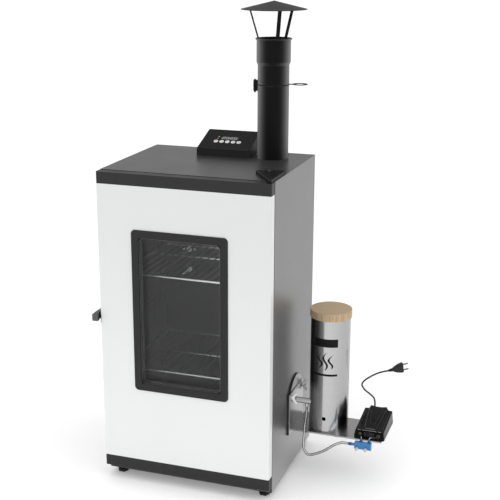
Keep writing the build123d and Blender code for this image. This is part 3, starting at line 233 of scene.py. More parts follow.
def tube_brushed():
    """The generator's brushed tube: sooty inside, with a painted shadow on the side towards the cabinet, a painted
    shade at its foot by the pump, and painted shade as it turns away from the cabinet.
    """
    g = Graph("tube_brushed")
    low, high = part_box("generator_tube")
    out_x, out_y = g.axis("X", g.surface()), g.axis("Y", g.surface())
    away_x = g.math("SUBTRACT", g.axis("X"), (low.x + high.x) / 2)
    away_y = g.math("SUBTRACT", g.axis("Y"), (low.y + high.y) / 2)
    outward = g.math("ADD", g.times(away_x, out_x), g.times(away_y, out_y))
    inside = g.span(outward, 1.0, 0.0, at=(-0.004, -0.001))
    scratch = g.noise(0.0006, stretch=(30, 30, 1), detail=3)
    base = g.blend(scratch, shade(0.42), shade(0.57))
    # painted shade: darker where the tube turns to face away from the cabinet
    base = g.blend(g.span(out_x, 0.0, 0.5, at=(0.1, 0.9)), base, shade(0.30))
    # painted shadow on the side that faces the cabinet
    shadow = g.span(out_x, 1.0, 0.0, at=(-0.46, -0.18))
    # painted shade at the foot, on the side that faces the pump, in place of the pump's dark reflection
    by_pump = g.span(out_x, 0.0, 1.0, at=(0.60, 0.98))
    foot = g.times(by_pump, g.span(g.axis("Z"), 1.0, 0.0, at=(0.17, 0.29)))
    upper = g.span(g.axis("Z"), 0.0, 1.0, at=(0.27, 0.33))
    dark = g.math("MAXIMUM", shadow, foot)
    # the painted shade is paler low down and darker above the plate
    base = g.blend(dark, base, g.blend(upper, shade(0.20), shade(0.085)))
    metal = g.span(g.times(shadow, g.span(upper, 1.0, 0.35)), 1.0, 0.4)
    # painted rim: the grazing reflection is dimmed where the shade is painted
    rim = g.blend(dark, shade(1.0), g.blend(upper, shade(0.8), shade(0.25)))
    soot = g.span(g.noise(0.012, detail=4), 0.004, 0.012)
    base = g.blend(inside, base, g.blend(soot, shade(0.004), shade(0.014)))
    rim = g.blend(inside, rim, shade(0.02))
    rough = g.math("MAXIMUM", g.span(g.noise(0.06, detail=3), 0.17, 0.23), g.times(inside, 0.8))
    normal = g.relief(scratch, 0.00001)
    return g.finish(Base_Color=base, Metallic=metal, Roughness=rough, Normal=normal, Specular_Tint=rim)


def shelf_brushed(name="shelf_brushed", top=1.0):
    """Brushed shelf sheet; top scales its brightness where it stands above the smoke pipe, which on the flange disc,
    with a top below 1, is a painted shade.
    """
    g = Graph(name)
    scratch = g.noise(0.0006, stretch=(30, 1, 1), detail=3)
    base = g.blend(scratch, shade(0.34), shade(0.46))
    base = g.blend(g.span(g.axis("Z"), 0.0, 1.0, at=(0.255, 0.30)), base, shade(0.40 * top))
    # paler edges: partly rubbed, partly a painted edge highlight
    base = g.over(base, shade(0.8), g.edges(0.001), 0.5)
    rough = g.span(scratch, 0.22, 0.32)
    normal = g.relief(scratch, 0.00002)
    return g.finish(Base_Color=base, Metallic=1.0, Roughness=rough, Normal=normal)


def wire_chrome():
    """Plated rack wire: bright on the cross bars and the sides; the grid wires carry a painted shade that is darker
    on the upper rack, and the cross bars a painted glow towards the window.
    """
    g = Graph("plated_wire")
    out_x = g.math("ABSOLUTE", g.axis("X", g.surface("True Normal")))
    across = g.span(out_x, 1.0, 0.0, at=(0.02, 0.06))
    side = g.span(g.math("ABSOLUTE", g.axis("X")), 0.0, 1.0, at=(0.214, 0.218))
    bright = g.math("MAXIMUM", across, side)
    haze = g.span(g.noise(0.02, detail=4), 0.0, 0.5, at=(0.5, 0.8))
    plated = g.blend(haze, shade(0.95), (0.70, 0.67, 0.62))
    upper = g.span(g.axis("Z"), 0.0, 1.0, at=(0.45, 0.60))
    # painted shade: the grid wires dark, and darker on the upper rack
    dull = g.blend(upper, (0.20, 0.195, 0.19), shade(0.06))
    colour = g.blend(bright, dull, plated)
    # painted glow: the cross bars shine by emission, most towards the window
    window_light = g.span(g.axis("X"), 0.04, 0.50, at=(-0.12, 0.10))
    rise = g.span(g.axis("Z"), 0.4, 1.0, at=(0.45, 0.60))
    painted_glint = g.times(across, window_light, rise)
    rough = g.span(bright, 0.6, 0.24)
    normal = g.bump(g.noise(0.002), 0.00004)
    metal = g.span(bright, 0.3, 1.0)
    return g.finish(Base_Color=colour, Metallic=metal, Roughness=rough, Normal=normal, Emission_Strength=painted_glint)


def sooty_steel():
    """The chamber's liner: dull steel with brown smoke staining that gathers towards the top."""
    g = Graph("sooty_steel")
    height = g.span(g.axis("Z"), 0.15, 0.75, at=(0.2, 0.95))
    patch = g.times(g.noise(0.09, detail=5, distort=0.5), height)
    colour = g.blend(patch, (0.24, 0.24, 0.24), (0.16, 0.15, 0.14))
    scratch = g.noise(0.0007, stretch=(1, 1, 30))
    rough = g.span(scratch, 0.42, 0.6)
    return g.finish(Base_Color=colour, Metallic=0.85, Roughness=rough, Normal=g.bump(scratch, 0.00002))


def satin_flue(name, face_on, outline):
    """Heat-proof black on the chimney: dark face on, a painted sheen that makes it paler towards its outline, a faint
    vertical draw, and painted light on its edges.
    """
    g = Graph(name)
    # painted sheen: paler towards the outline
    rim = g.span(g.facing(0.5), 0.0, 1.0, at=(0.06, 0.70))
    colour = g.blend(rim, shade(face_on), shade(outline))
    colour = g.over(colour, shade(0.03), g.noise(0.05, stretch=(1, 1, 5), detail=4), 0.06)
    # painted edge highlight
    colour = g.over(colour, shade(0.12), g.edges(0.0012), 0.5)
    rough = g.span(g.noise(0.015, detail=4), 0.38, 0.5)
    normal = g.relief(g.noise(0.0011, detail=2), 0.00003)
    return g.finish(Base_Color=colour, Roughness=rough, Normal=normal, Specular_IOR_Level=0.08)


def round_steel(name, face_on, outline):
    """Bright drawn steel on a thin pipe, with painted shading: pale face on and dark along its outline."""
    g = Graph(name)
    # painted shading by the view: pale face on, dark at the outline
    colour = g.blend(g.span(g.facing(0.5), 0.0, 1.0, at=(0.15, 0.70)), shade(face_on), shade(outline))
    draw = g.noise(0.0008, stretch=(20, 1, 1), detail=3)
    colour = g.over(colour, shade(0.4 * face_on), draw, 0.15)
    rough = g.span(draw, 0.24, 0.34)
    normal = g.relief(draw, 0.00001, 0.0005)
    # the dark specular tint is a painted shade on the grazing reflection
    return g.finish(Base_Color=colour, Metallic=0.7, Roughness=rough, Normal=normal, Specular_Tint=shade(0.3) + (1,))


def bezel_plastic():
    """The window surround: black in front, and paler down the sleeve that lines the opening, a painted reflection
    there.
    """
    g = Graph("bezel_plastic")
    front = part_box("window_bezel")[0].y
    # painted reflection: the sleeve paler than the front
    sleeve = g.span(g.axis("Y"), 0.0, 1.0, at=(front + 0.004, front + 0.009))
    colour = g.blend(sleeve, g.blend(g.noise(0.05, detail=3), shade(0.013), shade(0.016)), shade(0.075))
    # paler edges: partly rubbed, partly a painted edge highlight
    colour = g.over(colour, shade(0.07), g.edges(0.0015), 0.4)
    rough = g.span(g.noise(0.06, detail=2), 0.39, 0.45, at=(0.3, 0.7))
    normal = g.relief(g.noise(0.0007, detail=1), 0.00003, 0.001)
    return g.finish(Base_Color=colour, Roughness=rough, Normal=normal, Specular_IOR_Level=0.28)


def tinted_glass():
    """Smoked oven glass: it dims the light a little and mirrors a little of the room."""
    g = Graph("tinted_glass")
    haze = g.span(g.noise(0.07, detail=5, distort=0.4), 0.0, 0.05, at=(0.45, 0.8))
    tint = g.blend(haze, (0.90, 0.905, 0.905), (0.80, 0.78, 0.75))
    clear = g.node("ShaderNodeBsdfTransparent", {"Color": tint}).outputs[0]
    gloss = g.node("ShaderNodeBsdfGlossy", {"Color": (1, 1, 1, 1), "Roughness": 0.02}).outputs[0]
    fresnel = g.node("ShaderNodeFresnel", {"IOR": 1.45}).outputs[0]
    share = g.times(fresnel, 0.35)
    mixed = g.node("ShaderNodeMixShader", {0: share, 1: clear, 2: gloss}).outputs[0]
    g.join(g.output.inputs["Surface"], mixed)
    return g.material


def turned_wood():
    """Oiled light hardwood: straight fibres across the top, upright ones round the side."""
    g = Graph("turned_wood")
    top = g.span(g.axis("Z", g.surface()), 0.0, 1.0, at=(0.6, 0.8))
    across = g.noise(0.0011, stretch=(28, 1, 28), detail=4)
    upright = g.span(g.noise(0.0022, stretch=(1, 1, 28), detail=3), 0.0, 1.0, at=(0.32, 0.68))
    fibre = g.span(top, upright, across)
    board = g.noise(0.012, stretch=(9, 1, 4), detail=3, distort=0.4)
    pore = g.span(g.noise(0.0006, stretch=(10, 1, 10), detail=2), 0.0, 1.0, at=(0.60, 0.72))
    colour = g.blend(fibre, (0.33, 0.225, 0.13), (0.60, 0.45, 0.29))
    colour = g.over(colour, (0.56, 0.43, 0.29), board, 0.55)
    colour = g.over(colour, (0.20, 0.12, 0.06), pore, 0.35)
    # paler edges: partly worn, partly a painted edge highlight
    colour = g.over(colour, (0.68, 0.54, 0.38), g.edges(0.003), 0.25)
    rough = g.span(fibre, 0.48, 0.62)
    normal = g.relief(fibre, 0.00012, 0.0012)
    return g.finish(Base_Color=colour, Roughness=rough, Normal=normal, Specular_IOR_Level=0.3)


def clear_vinyl(name, least, most):
    """Clear hose: milky face on, and grey where the eye looks along its wall."""
    g = Graph(name)
    edge = g.span(g.facing(0.5), 0.0, 1.0, at=(0.08, 0.28))
    tint = g.blend(edge, (0.97, 0.98, 0.985), (0.22, 0.24, 0.26))
    clear = g.node("ShaderNodeBsdfTransparent", {"Color": tint}).outputs[0]
    colour = g.blend(edge, (0.90, 0.915, 0.92), (0.07, 0.075, 0.08))
    wall = g.node("ShaderNodeBsdfPrincipled", {"Base Color": colour, "Roughness": 0.25}).outputs[0]
    share = g.span(g.noise(0.01, detail=3), least, most)
    mixed = g.node("ShaderNodeMixShader", {0: share, 1: clear, 2: wall}).outputs[0]
    g.join(g.output.inputs["Surface"], mixed)
    return g.material


def fibre_wool():
    """Mineral wool."""
    g = Graph("fibre_wool")
    strand = g.noise(0.002, stretch=(8, 1, 3), detail=5, distort=1.5)
    colour = g.blend(strand, (0.34, 0.28, 0.15), (0.66, 0.58, 0.38))
    return g.finish(Base_Color=colour, Roughness=0.95, Normal=g.bump(strand, 0.0008))


def glowing(name, colour, strength):
    """A small indicator lens, brighter towards its middle; the same glow paints faint light on the probes and their
    screws.
    """
    g = Graph(name)
    core = g.span(g.facing(0.5), strength, 0.3 * strength)
    return g.finish(Base_Color=(*colour, 1), Roughness=0.18, Emission_Color=(*colour, 1), Emission_Strength=core)


def glossy_plastic(name, dark, light, roughness=0.12, coat=0.4, shine=0.4):
    """Polished plastic with fine handling marks, and paler edges that are partly rubbed and partly a painted edge
    highlight.
    """
    g = Graph(name)
    colour = g.blend(g.noise(0.02, detail=3), dark, light)
    # paler edges: partly rubbed, partly a painted edge highlight
    colour = g.over(colour, tuple(min(1, 1.6 * c + 0.02) for c in light), g.edges(0.001), 0.25)
    mark = g.span(g.noise(0.004, stretch=(1, 5, 1), detail=4), roughness, roughness + 0.10, at=(0.4, 0.75))
    normal = g.relief(g.noise(0.006, detail=2), 0.00002, 0.0012)
    return g.finish(
        Base_Color=colour, Roughness=mark, Normal=normal, Coat_Weight=coat, Coat_Roughness=0.06, Specular_IOR_Level=shine
    )


looks = {
    "cabinet_steel": cabinet_brushed(),
    "black_enamel": painted("black_enamel", shade(0.030), shade(0.040), 0.30, 0.000025, shade(0.12)),
    "liner_steel": sooty_steel(),
    "mineral_wool": fibre_wool(),
    "foot_rubber": moulded("foot_rubber", shade(0.012), shade(0.022), 0.62, 0.00004),
    "black_plastic": moulded("black_plastic", shade(0.015), shade(0.019), 0.42, 0.00003),
    "latch_steel": brushed("latch_steel", (0.11, 0.11, 0.115), 0.32, along=(1, 18, 1)),
    "chrome_wire": wire_chrome(),
    "heater_sheath": brushed("heater_sheath", (0.20, 0.19, 0.18), 0.45, along=(1, 12, 1), tint=(0.16, 0.10, 0.07)),
    # door_white: its top colour is a painted shade, the door darker towards its top
    "door_white": painted(
        "door_white", (0.79, 0.81, 0.805), (0.83, 0.845, 0.84), 0.30, 0.00002, shade(0.7), coat=0.2, top=(0.70, 0.715, 0.71)
    ),
    "door_back": brushed("door_back", (0.40, 0.40, 0.40), 0.42, along=(1, 1, 30)),
    "window_glass": tinted_glass(),
    "gasket_rubber": moulded("gasket_rubber", shade(0.010), shade(0.018), 0.55, 0.00005),
    "display_lens": glossy_plastic("display_lens", shade(0.012), shade(0.02), 0.08),
    "circuit_board": moulded("circuit_board", (0.01, 0.10, 0.04), (0.02, 0.16, 0.07), 0.35, 0.00006, 0.002),
    "button_white": glossy_plastic("button_white", shade(0.72), shade(0.80), 0.25, 0.1),
    "shelf_steel": shelf_brushed(),
    "zinc": brushed("zinc", (0.62, 0.62, 0.63), 0.24, along=(1, 4, 4)),
    "tube_steel": tube_brushed(),
    "lid_wood": turned_wood(),
    "pump_gloss": glossy_plastic("pump_gloss", shade(0.002), shade(0.003), 0.14, 0.0, 0.10),
    "pump_metal": brushed("pump_metal", (0.13, 0.11, 0.03), 0.35, along=(1, 6, 1)),
    "valve_blue": glossy_plastic("valve_blue", (0.012, 0.15, 0.41), (0.02, 0.19, 0.49), 0.16, 0.5),
    # knob_white: a white knob given a grey colour, a painted shade
    "knob_white": glossy_plastic("knob_white", (0.56, 0.55, 0.52), (0.64, 0.63, 0.60), 0.22, 0.2),
    "clear_hose": clear_vinyl("clear_vinyl", 0.60, 0.72),
    "cord_black": moulded("cord_black", shade(0.010), shade(0.016), 0.38, 0.00003),
}
# flue_black and cap_black are one black; the cap's outline sheen is kept low, a painted shade that darkens the cap
flue_black = satin_flue("flue_black", 0.004, 0.20)
cap_black = satin_flue("cap_black", 0.004, 0.03)
# case_black and housing_black are one black plastic, painted darker on the sloped panel and paler on the housing to
# even out their light
case_black = moulded("case_black", shade(0.005), shade(0.007), 0.5, 0.00003, shine=0.08)
housing_black = moulded("housing_black", shade(0.018), shade(0.022), 0.5, 0.00003, shine=0.10)
# hinge_black: its grey edge colour is a painted highlight on the plate's bevel
hinge_black = moulded("hinge_black", shade(0.005), shade(0.008), 0.45, 0.00003, shine=0.08, edge=shade(0.35))
bright_zinc = brushed("bright_zinc", shade(0.92), 0.24, along=(1, 4, 4), metal=0.2)
dull_screw = brushed("dull_screw", shade(0.20), 0.35, along=(1, 4, 4))
pipe_steel = round_steel("pipe_steel", 0.80, 0.10)
bezel_black = bezel_plastic()
collar_blue = glossy_plastic("collar_blue", (0.006, 0.05, 0.17), (0.01, 0.07, 0.22), 0.2, 0.3)
# painted highlights: light grey lines on the black pump cover
painted_groove_highlight = glossy_plastic("painted_groove_highlight", shade(0.055), shade(0.075), 0.2, 0.0, 0.3)
painted_lip_highlight = glossy_plastic("painted_lip_highlight", shade(0.26), shade(0.32), 0.2, 0.0, 0.3)
# front_gloss: the pump's black made paler on its front frame, a painted reflection
front_gloss = glossy_plastic("front_gloss", shade(0.012), shade(0.018), 0.25, 0.0, 0.3)
thin_vinyl = clear_vinyl("thin_vinyl", 0.22, 0.32)
soot_black = moulded("soot_black", shade(0.004), shade(0.010), 0.8, 0.00006, shine=0.05, edge=shade(0.02))
# disc_steel: the shelf steel with a painted shade on the disc's upper part
disc_steel = shelf_brushed("disc_steel", 0.62)
print_black = glossy_plastic("label_black", shade(0.008), shade(0.012), 0.45, 0.0, 0.08)
# painted glow: the probes and their screws shine faintly though they are no lamps
glowing_probe_zinc = glowing("glowing_probe_zinc", (0.80, 0.80, 0.80), 0.13)
frit_black = glossy_plastic("frit_black", shade(0.010), shade(0.014), 0.4, 0.0, 0.1)
# painted highlight for the bezel's inner rim
painted_bead_highlight = glossy_plastic("painted_bead_highlight", shade(0.11), shade(0.15), 0.3, 0.0, 0.3)
segment_grey = glossy_plastic("segment_grey", shade(0.45), shade(0.55), 0.3, 0.0)
glyph_grey = glossy_plastic("glyph_grey", shade(0.16), shade(0.22), 0.4, 0.0)
plug_pin = brushed("plug_pin", (0.17, 0.165, 0.155), 0.25, along=(4, 4, 4))
lamp_green = glowing("lamp_green", (0.10, 0.55, 0.22), 0.5)
lamp_red = glowing("lamp_red", (0.62, 0.06, 0.05), 0.5)

for subpart in frame["record"]["subparts"]:
    piece = nodes[subpart["node"]]
    piece.data.materials.clear()
    piece.data.materials.append(looks[subpart["material_slot"]])
special_looks = {
    flue_black: ("chimney_pipe", "damper_pivot"),
    cap_black: ("chimney_cap", "cap_legs", "damper_plate"),
    case_black: ("controller_panel",),
    housing_black: ("controller_housing",),
    bezel_black: ("window_bezel",),
    pipe_steel: ("smoke_outlet",),
    soot_black: ("ash_grate",),
    looks["liner_steel"]: ("rack_supports",),
    glowing_probe_zinc: ("temperature_probes",),
    disc_steel: ("adapter_flange",),
    dull_screw: ("fixing_screws",),
    hinge_black: ("top_hinge_plate",),
    bright_zinc: ("wing_nut_front", "wing_nut_rear"),
}
for look, names in special_looks.items():
    for name in names:
        nodes[name].data.materials[0] = look


# ---- shapes


def add_piece(name, mesh_maker, material, body, replaces=(), smooth=True):
    """A new mesh piece, filled by mesh_maker, with its material, riding on a CAD body."""
    mesh = bpy.data.meshes.new(name)
    bm = bmesh.new()
    mesh_maker(bm)
    bmesh.ops.remove_doubles(bm, verts=bm.verts, dist=1e-7)
    bmesh.ops.recalc_face_normals(bm, faces=bm.faces)
    bm.to_mesh(mesh)
    bm.free()
    piece = bpy.data.objects.new(name, mesh)
    bpy.context.scene.collection.objects.link(piece)
    materials = material if isinstance(material, (list, tuple)) else [material]
    for each in materials:
        mesh.materials.append(each)
    if smooth:
        for face in mesh.polygons:
            face.use_smooth = True
        mesh.set_sharp_from_angle(angle=math.radians(38))
    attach(piece, body)
    if replaces:
        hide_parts(*replaces)
    return piece


def loft(bm, rings, caps=True, closed=True):
    """Skins a row of rings of equal length; each ring is a list of points."""
    made = [[bm.verts.new(p) for p in ring] for ring in rings]
    count = len(made[0])
    for low, high in zip(made, made[1:]):
        for i in range(count if closed else count - 1):
            j = (i + 1) % count
            bm.faces.new((low[i], low[j], high[j], high[i]))
    if caps:
        bm.faces.new(list(reversed(made[0])))
        bm.faces.new(made[-1])
    return made


def frame_on(direction, near=UP):
    """Two unit vectors across a direction."""
    forward = direction.normalized()
    side = forward.cross(near)
    if side.length < 1e-3:
        side = forward.cross(Vector((1, 0, 0)))
    side.normalize()
    return side, side.cross(forward).normalized()


def circle(centre, side, up, radius, count=24):
    """Points round a circle in the plane of side and up."""
    turn = [2 * math.pi * i / count for i in range(count)]
    return [centre + side * (radius * math.cos(a)) + up * (radius * math.sin(a)) for a in turn]


def smooth_path(points, steps=14):
    """A Catmull-Rom curve through the points."""
    ghosts = [2 * points[0] - points[1], *points, 2 * points[-1] - points[-2]]
    path = []
    for p0, p1, p2, p3 in zip(ghosts, ghosts[1:], ghosts[2:], ghosts[3:]):
        for step in range(steps):
            t = step / steps
            path.append(
                0.5 * (2 * p1 + (p2 - p0) * t + (2 * p0 - 5 * p1 + 4 * p2 - p3) * t * t + (3 * p1 - p0 - 3 * p2 + p3) * t**3)
            )
    return path + [points[-1]]


def sweep_rings(path, radius, count=20):
    """Rings along a path that keep their turn from one to the next. radius is a number or a function of the share."""
    rings = []
    side, up = frame_on(path[1] - path[0])
    for i, centre in enumerate(path):
        ahead = path[min(i + 1, len(path) - 1)] - path[max(i - 1, 0)]
        forward = ahead.normalized()
        side = (side - forward * side.dot(forward)).normalized()
        up = side.cross(forward).normalized()
        share = i / (len(path) - 1)
        r = radius(share) if callable(radius) else radius
        rings.append(circle(centre, side, up, r, count))
    return rings


def hollow_hose(bm, path, outer, inner):
    """An open tube with a wall."""
    outside = loft(bm, sweep_rings(path, outer), caps=False)
    inside = loft(bm, sweep_rings(path, inner), caps=False)
    for end in (0, -1):
        for i in range(len(outside[end])):
            j = (i + 1) % len(outside[end])
            bm.faces.new((outside[end][i], outside[end][j], inside[end][j], inside[end][i]))


def rounded_rectangle(width, depth, radius, per_corner=8):
    """Flat points round a rectangle with round corners, starting at its right side."""
    points = []
    for corner in range(4):
        sx, sy = ((1, 1), (-1, 1), (-1, -1), (1, -1))[corner]
        cx, cy = sx * (width / 2 - radius), sy * (depth / 2 - radius)
        for step in range(per_corner + 1):
            a = math.pi / 2 * (corner + step / per_corner)
            points.append((cx + radius * math.cos(a), cy + radius * math.sin(a)))
    return points


def ease(x, low, high):
    """0 below low, 1 above high, and smooth between."""
    t = max(0.0, min(1.0, (x - low) / (high - low)))
    return t * t * (3 - 2 * t)


def prism(bm, points, lift):
    """A flat outline given a thickness by the vector lift."""
    loft(bm, [points, [p + lift for p in points]])


# ---- controller face

panel_low, panel_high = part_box("controller_panel")
PANEL_RISE = 43 * MM
PANEL_RUN = 119 * MM
tilt = math.atan2(PANEL_RISE, PANEL_RUN)
panel_up = Vector((0, math.cos(tilt), math.sin(tilt)))
panel_out = Vector((0, -math.sin(tilt), math.cos(tilt)))
panel_right = Vector((1, 0, 0))
PANEL_FRONT_H = 22 * MM
panel_origin = Vector(((panel_low.x + panel_high.x) / 2, panel_low.y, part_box("controller_housing")[0].z + PANEL_FRONT_H))


def on_panel(x, up, lift=0.0):
    """A place on the controller's sloped face, x across from its middle and up from its front edge."""
    return panel_origin + panel_right * x + panel_up * up + panel_out * lift


SEGMENTS = {
    "top": (0, 1, True),
    "middle": (0, 0, True),
    "bottom": (0, -1, True),
    "upper_left": (-1, 0.5, False),
    "upper_right": (1, 0.5, False),
    "lower_left": (-1, -0.5, False),
    "lower_right": (1, -0.5, False),
}
DIGIT_W = 7.6 * MM
DIGIT_H = 12.5 * MM
DIGIT_PITCH = 13.0 * MM
DIGIT_BAR = 1.5 * MM
DISPLAY_UP = 74 * MM


def segment_digits(bm):
    """Four seven-bar digits with every bar showing."""
    for place in range(4):
        middle = (place - 1.5) * DIGIT_PITCH
        for across, level, flat in SEGMENTS.values():
            x = middle + across * DIGIT_W / 2
            up = DISPLAY_UP + level * DIGIT_H / 2
            length = (DIGIT_W if flat else DIGIT_H / 2) / 2 - 0.35 * MM
            half = DIGIT_BAR / 2
            outline = [(-length, 0), (-length + half, -half), (length - half, -half), (length, 0)]
            outline += [(length - half, half), (-length + half, half)]
            points = [(a, b) if flat else (-b, a) for a, b in outline]
            prism(bm, [on_panel(x + a, up + b, 0.05 * MM) for a, b in points], panel_out * 0.25 * MM)


add_piece("display_digits", segment_digits, segment_grey, "cabinet", smooth=False)

BUTTON_PITCH = 19.4 * MM
BUTTON_UP = 50 * MM
GLYPH = 2.6 * MM
GLYPH_BAR = 0.55 * MM


def ring_outline(radius, gap, count=22):
    """Points of an open ring, as a pair of lists, outer and inner."""
    angles = [math.pi / 2 + gap + (2 * math.pi - 2 * gap) * i / count for i in range(count + 1)]
    return [[(r * math.cos(a), r * math.sin(a)) for a in angles] for r in (radius + GLYPH_BAR, radius - GLYPH_BAR)]


def button_glyph(number):
    """A plain symbol for each key: power, down, up, clock and lamp."""

    def draw(bm):
        x = (number - 3) * BUTTON_PITCH
        lift = 1.52 * MM

        def bar(points):
            prism(bm, [on_panel(x + a, BUTTON_UP + b, lift) for a, b in points], panel_out * 0.12 * MM)

        def ring(radius, gap):
            outer, inner = ring_outline(radius, gap)
            for i in range(len(outer) - 1):
                bar([outer[i], outer[i + 1], inner[i + 1], inner[i]])

        def upright(low, high, across=0.0):
            bar([(across - GLYPH_BAR, low), (across + GLYPH_BAR, low), (across + GLYPH_BAR, high), (across - GLYPH_BAR, high)])

        if number == 1:
            ring(GLYPH * 0.8, 0.55)
            upright(0.2 * GLYPH, 1.2 * GLYPH)
        elif number in (2, 3):
            sign = -1 if number == 2 else 1
            tip = [(-GLYPH, -0.6 * GLYPH), (0, GLYPH * 0.8), (GLYPH, -0.6 * GLYPH)]
            bar([(a, sign * b) for a, b in tip])
        elif number == 4:
            ring(GLYPH * 0.9, 0.02)
            upright(0, GLYPH * 0.8)
        else:
            ring(GLYPH * 0.5, 0.02)
            for turn in range(6):
                a = math.pi / 3 * turn
                along = Vector((math.cos(a), math.sin(a)))
                side = Vector((-along.y, along.x)) * 0.3 * MM
                near, far = along * GLYPH * 0.85, along * GLYPH * 1.3
                bar([(near - side)[:], (near + side)[:], (far + side)[:], (far - side)[:]])

    return draw


for number in range(1, 6):
    glyph = button_glyph(number)
    add_piece(f"button_{number}_symbol", glyph, glyph_grey, f"button_{number}", smooth=False)

LAMP_X = -37.5 * MM


def lamp_lens(up):
    """A domed indicator lens that stands on its light pipe."""

    def draw(bm):
        rings = []
        for step in range(7):
            a = math.pi / 2 * step / 6
            centre = on_panel(LAMP_X, up, 0.9 * MM + 1.1 * MM * math.sin(a))
            rings.append(circle(centre, panel_right, panel_up, max(2.35 * MM * math.cos(a), 0.05 * MM)))
        loft(bm, rings)

    return draw


add_piece("lamp_green", lamp_lens(79 * MM), lamp_green, "cabinet")
add_piece("lamp_red", lamp_lens(67 * MM), lamp_red, "cabinet")


# ---- plain label on the smoke generator

tube_low, tube_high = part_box("generator_tube")
tube_x = (tube_low.x + tube_high.x) / 2
tube_y = (tube_low.y + tube_high.y) / 2
tube_r = (tube_high.x - tube_low.x) / 2
LABEL_WRAP = math.radians(36)
LABEL_TOP = tube_high.z - 58 * MM


def on_tube(turn, z, lift=0.12 * MM):
    """A place on the tube's wall, turned from its front."""
    return Vector((tube_x + (tube_r + lift) * math.sin(turn), tube_y - (tube_r + lift) * math.cos(turn), z))


def tube_strip(bm, edge_low, edge_high, count=40):
    """A thin patch on the tube between two lines, each a function from 0..1 to (turn, z)."""
    rings = []
    for i in range(count + 1):
        share = i / count
        (t0, z0), (t1, z1) = edge_low(share), edge_high(share)
        rings.append([on_tube(t0, z0), on_tube(t1, z1), on_tube(t1, z1, 0.02 * MM), on_tube(t0, z0, 0.02 * MM)])
    loft(bm, rings)


def label_band(bm, top, height):
    tube_strip(
        bm,
        lambda s: (LABEL_WRAP * (2 * s - 1), top - height),
        lambda s: (LABEL_WRAP * (2 * s - 1), top),
    )


def plain_label(bm):
    """A blank name plate, three rising wisps, and a thin bar."""
    label_band(bm, LABEL_TOP, 27 * MM)
    label_band(bm, LABEL_TOP - 117 * MM, 7 * MM)
    for wisp in (-1, 0, 1):
        base = LABEL_TOP - (104 - 6 * abs(wisp)) * MM
        length = (60 - 14 * abs(wisp)) * MM

        def edge(side, share):
            sway = 0.10 * math.sin(2 * math.pi * share * 1.1 + 0.5 * wisp)
            width = 0.055 * math.sin(math.pi * min(1, 0.12 + share * 0.88)) + 0.004
            return 0.27 * wisp + sway + side * width, base + length * share

        tube_strip(bm, lambda s: edge(-1, s), lambda s: edge(1, s))


add_piece("generator_label", plain_label, print_black, "cabinet", smooth=False)


# ---- air pump cover

cover_low, cover_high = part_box("pump_cover")
cover_x = (cover_low.x + cover_high.x) / 2
cover_y = (cover_low.y + cover_high.y) / 2
cover_w = cover_high.x - cover_low.x
cover_d = cover_high.y - cover_low.y
SHOULDER_Z = cover_low.z + 15.5 * MM
PER_CORNER = 7


HUMP_FRONT_HALF = 19 * MM
HUMP_BACK_HALF = 29 * MM
HUMP_START = 15 * MM
LIP_PADS = ((-38 * MM, -27 * MM), (-23 * MM, 23 * MM), (27 * MM, 38 * MM))


def hump_depth(x, y):
    """How far inside the hump's outline a place lies: the hump is narrower at the front."""
    along = (y - cover_low.y - HUMP_START) / (cover_d - HUMP_START)
    half = HUMP_FRONT_HALF + (HUMP_BACK_HALF - HUMP_FRONT_HALF) * max(0.0, min(1.0, along))
    return min(half - abs(x - cover_x), y - cover_low.y - HUMP_START)


def cover_top(x, y):
    """Height of the cover's top: it climbs to the back, with a stepped hump and three pads along its front lip."""
    slope = (y - cover_low.y) / cover_d
    z = SHOULDER_Z + 17 * MM * slope
    inside = hump_depth(x, y)
    z += ease(inside, -3 * MM, 2.5 * MM) * (1.5 + 9.5 * ease(slope, 0.02, 0.9)) * MM
    z -= 1.4 * MM * ease(inside, 9 * MM, 11 * MM)
    z -= 1.0 * MM * ease(inside, 16 * MM, 18 * MM)
    lip = 1 - ease(y - cover_low.y, 8 * MM, 11 * MM)
    pads = max(ease(x - cover_x, low, low + 1.5 * MM) * (1 - ease(x - cover_x, high - 1.5 * MM, high)) for low, high in LIP_PADS)
    z += 2.0 * MM * lip * pads
    return z


def pump_cover_shell(bm):
    """The cover's walls, a round shoulder, and its sculpted top, as rings that close towards the middle."""
    rings = []

    def shoulder_ring(inset, share):
        ring(inset, lambda x, y: cover_low.z + 1 * MM + (cover_top(x, y) - 2.4 * MM - cover_low.z) * share)

    def ring(inset, height=cover_top, radius=4.5 * MM):
        r = max(radius - inset * 0.4, 1.2 * MM)
        corner = rounded_rectangle(cover_w - 2 * inset, cover_d - 2 * inset, r, per_corner=PER_CORNER)
        places = []
        for i, (ax, ay) in enumerate(corner):
            bx, by = corner[(i + 1) % len(corner)]
            straight = (i + 1) % (PER_CORNER + 1) == 0
            pieces = (22 if i // (PER_CORNER + 1) % 2 == 0 else 34) if straight else 1
            places += [(cover_x + ax + (bx - ax) * k / pieces, cover_y + ay + (by - ay) * k / pieces) for k in range(pieces)]
        rings.append([Vector((a, b, height(a, b))) for a, b in places])

    ring(0.2 * MM, lambda x, y: cover_low.z)
    ring(0.2 * MM, lambda x, y: cover_low.z + 1 * MM)
    for step in range(1, 6):
        shoulder_ring(0.2 * MM + 2.4 * MM * step / 5, step / 5)
    inset = 4.2 * MM
    while inset < cover_w / 2 - 1.5 * MM:
        ring(inset)
        inset += 1.0 * MM
    loft(bm, rings)


add_piece("pump_cover_shell", pump_cover_shell, looks["pump_gloss"], "cabinet", ["pump_cover"])


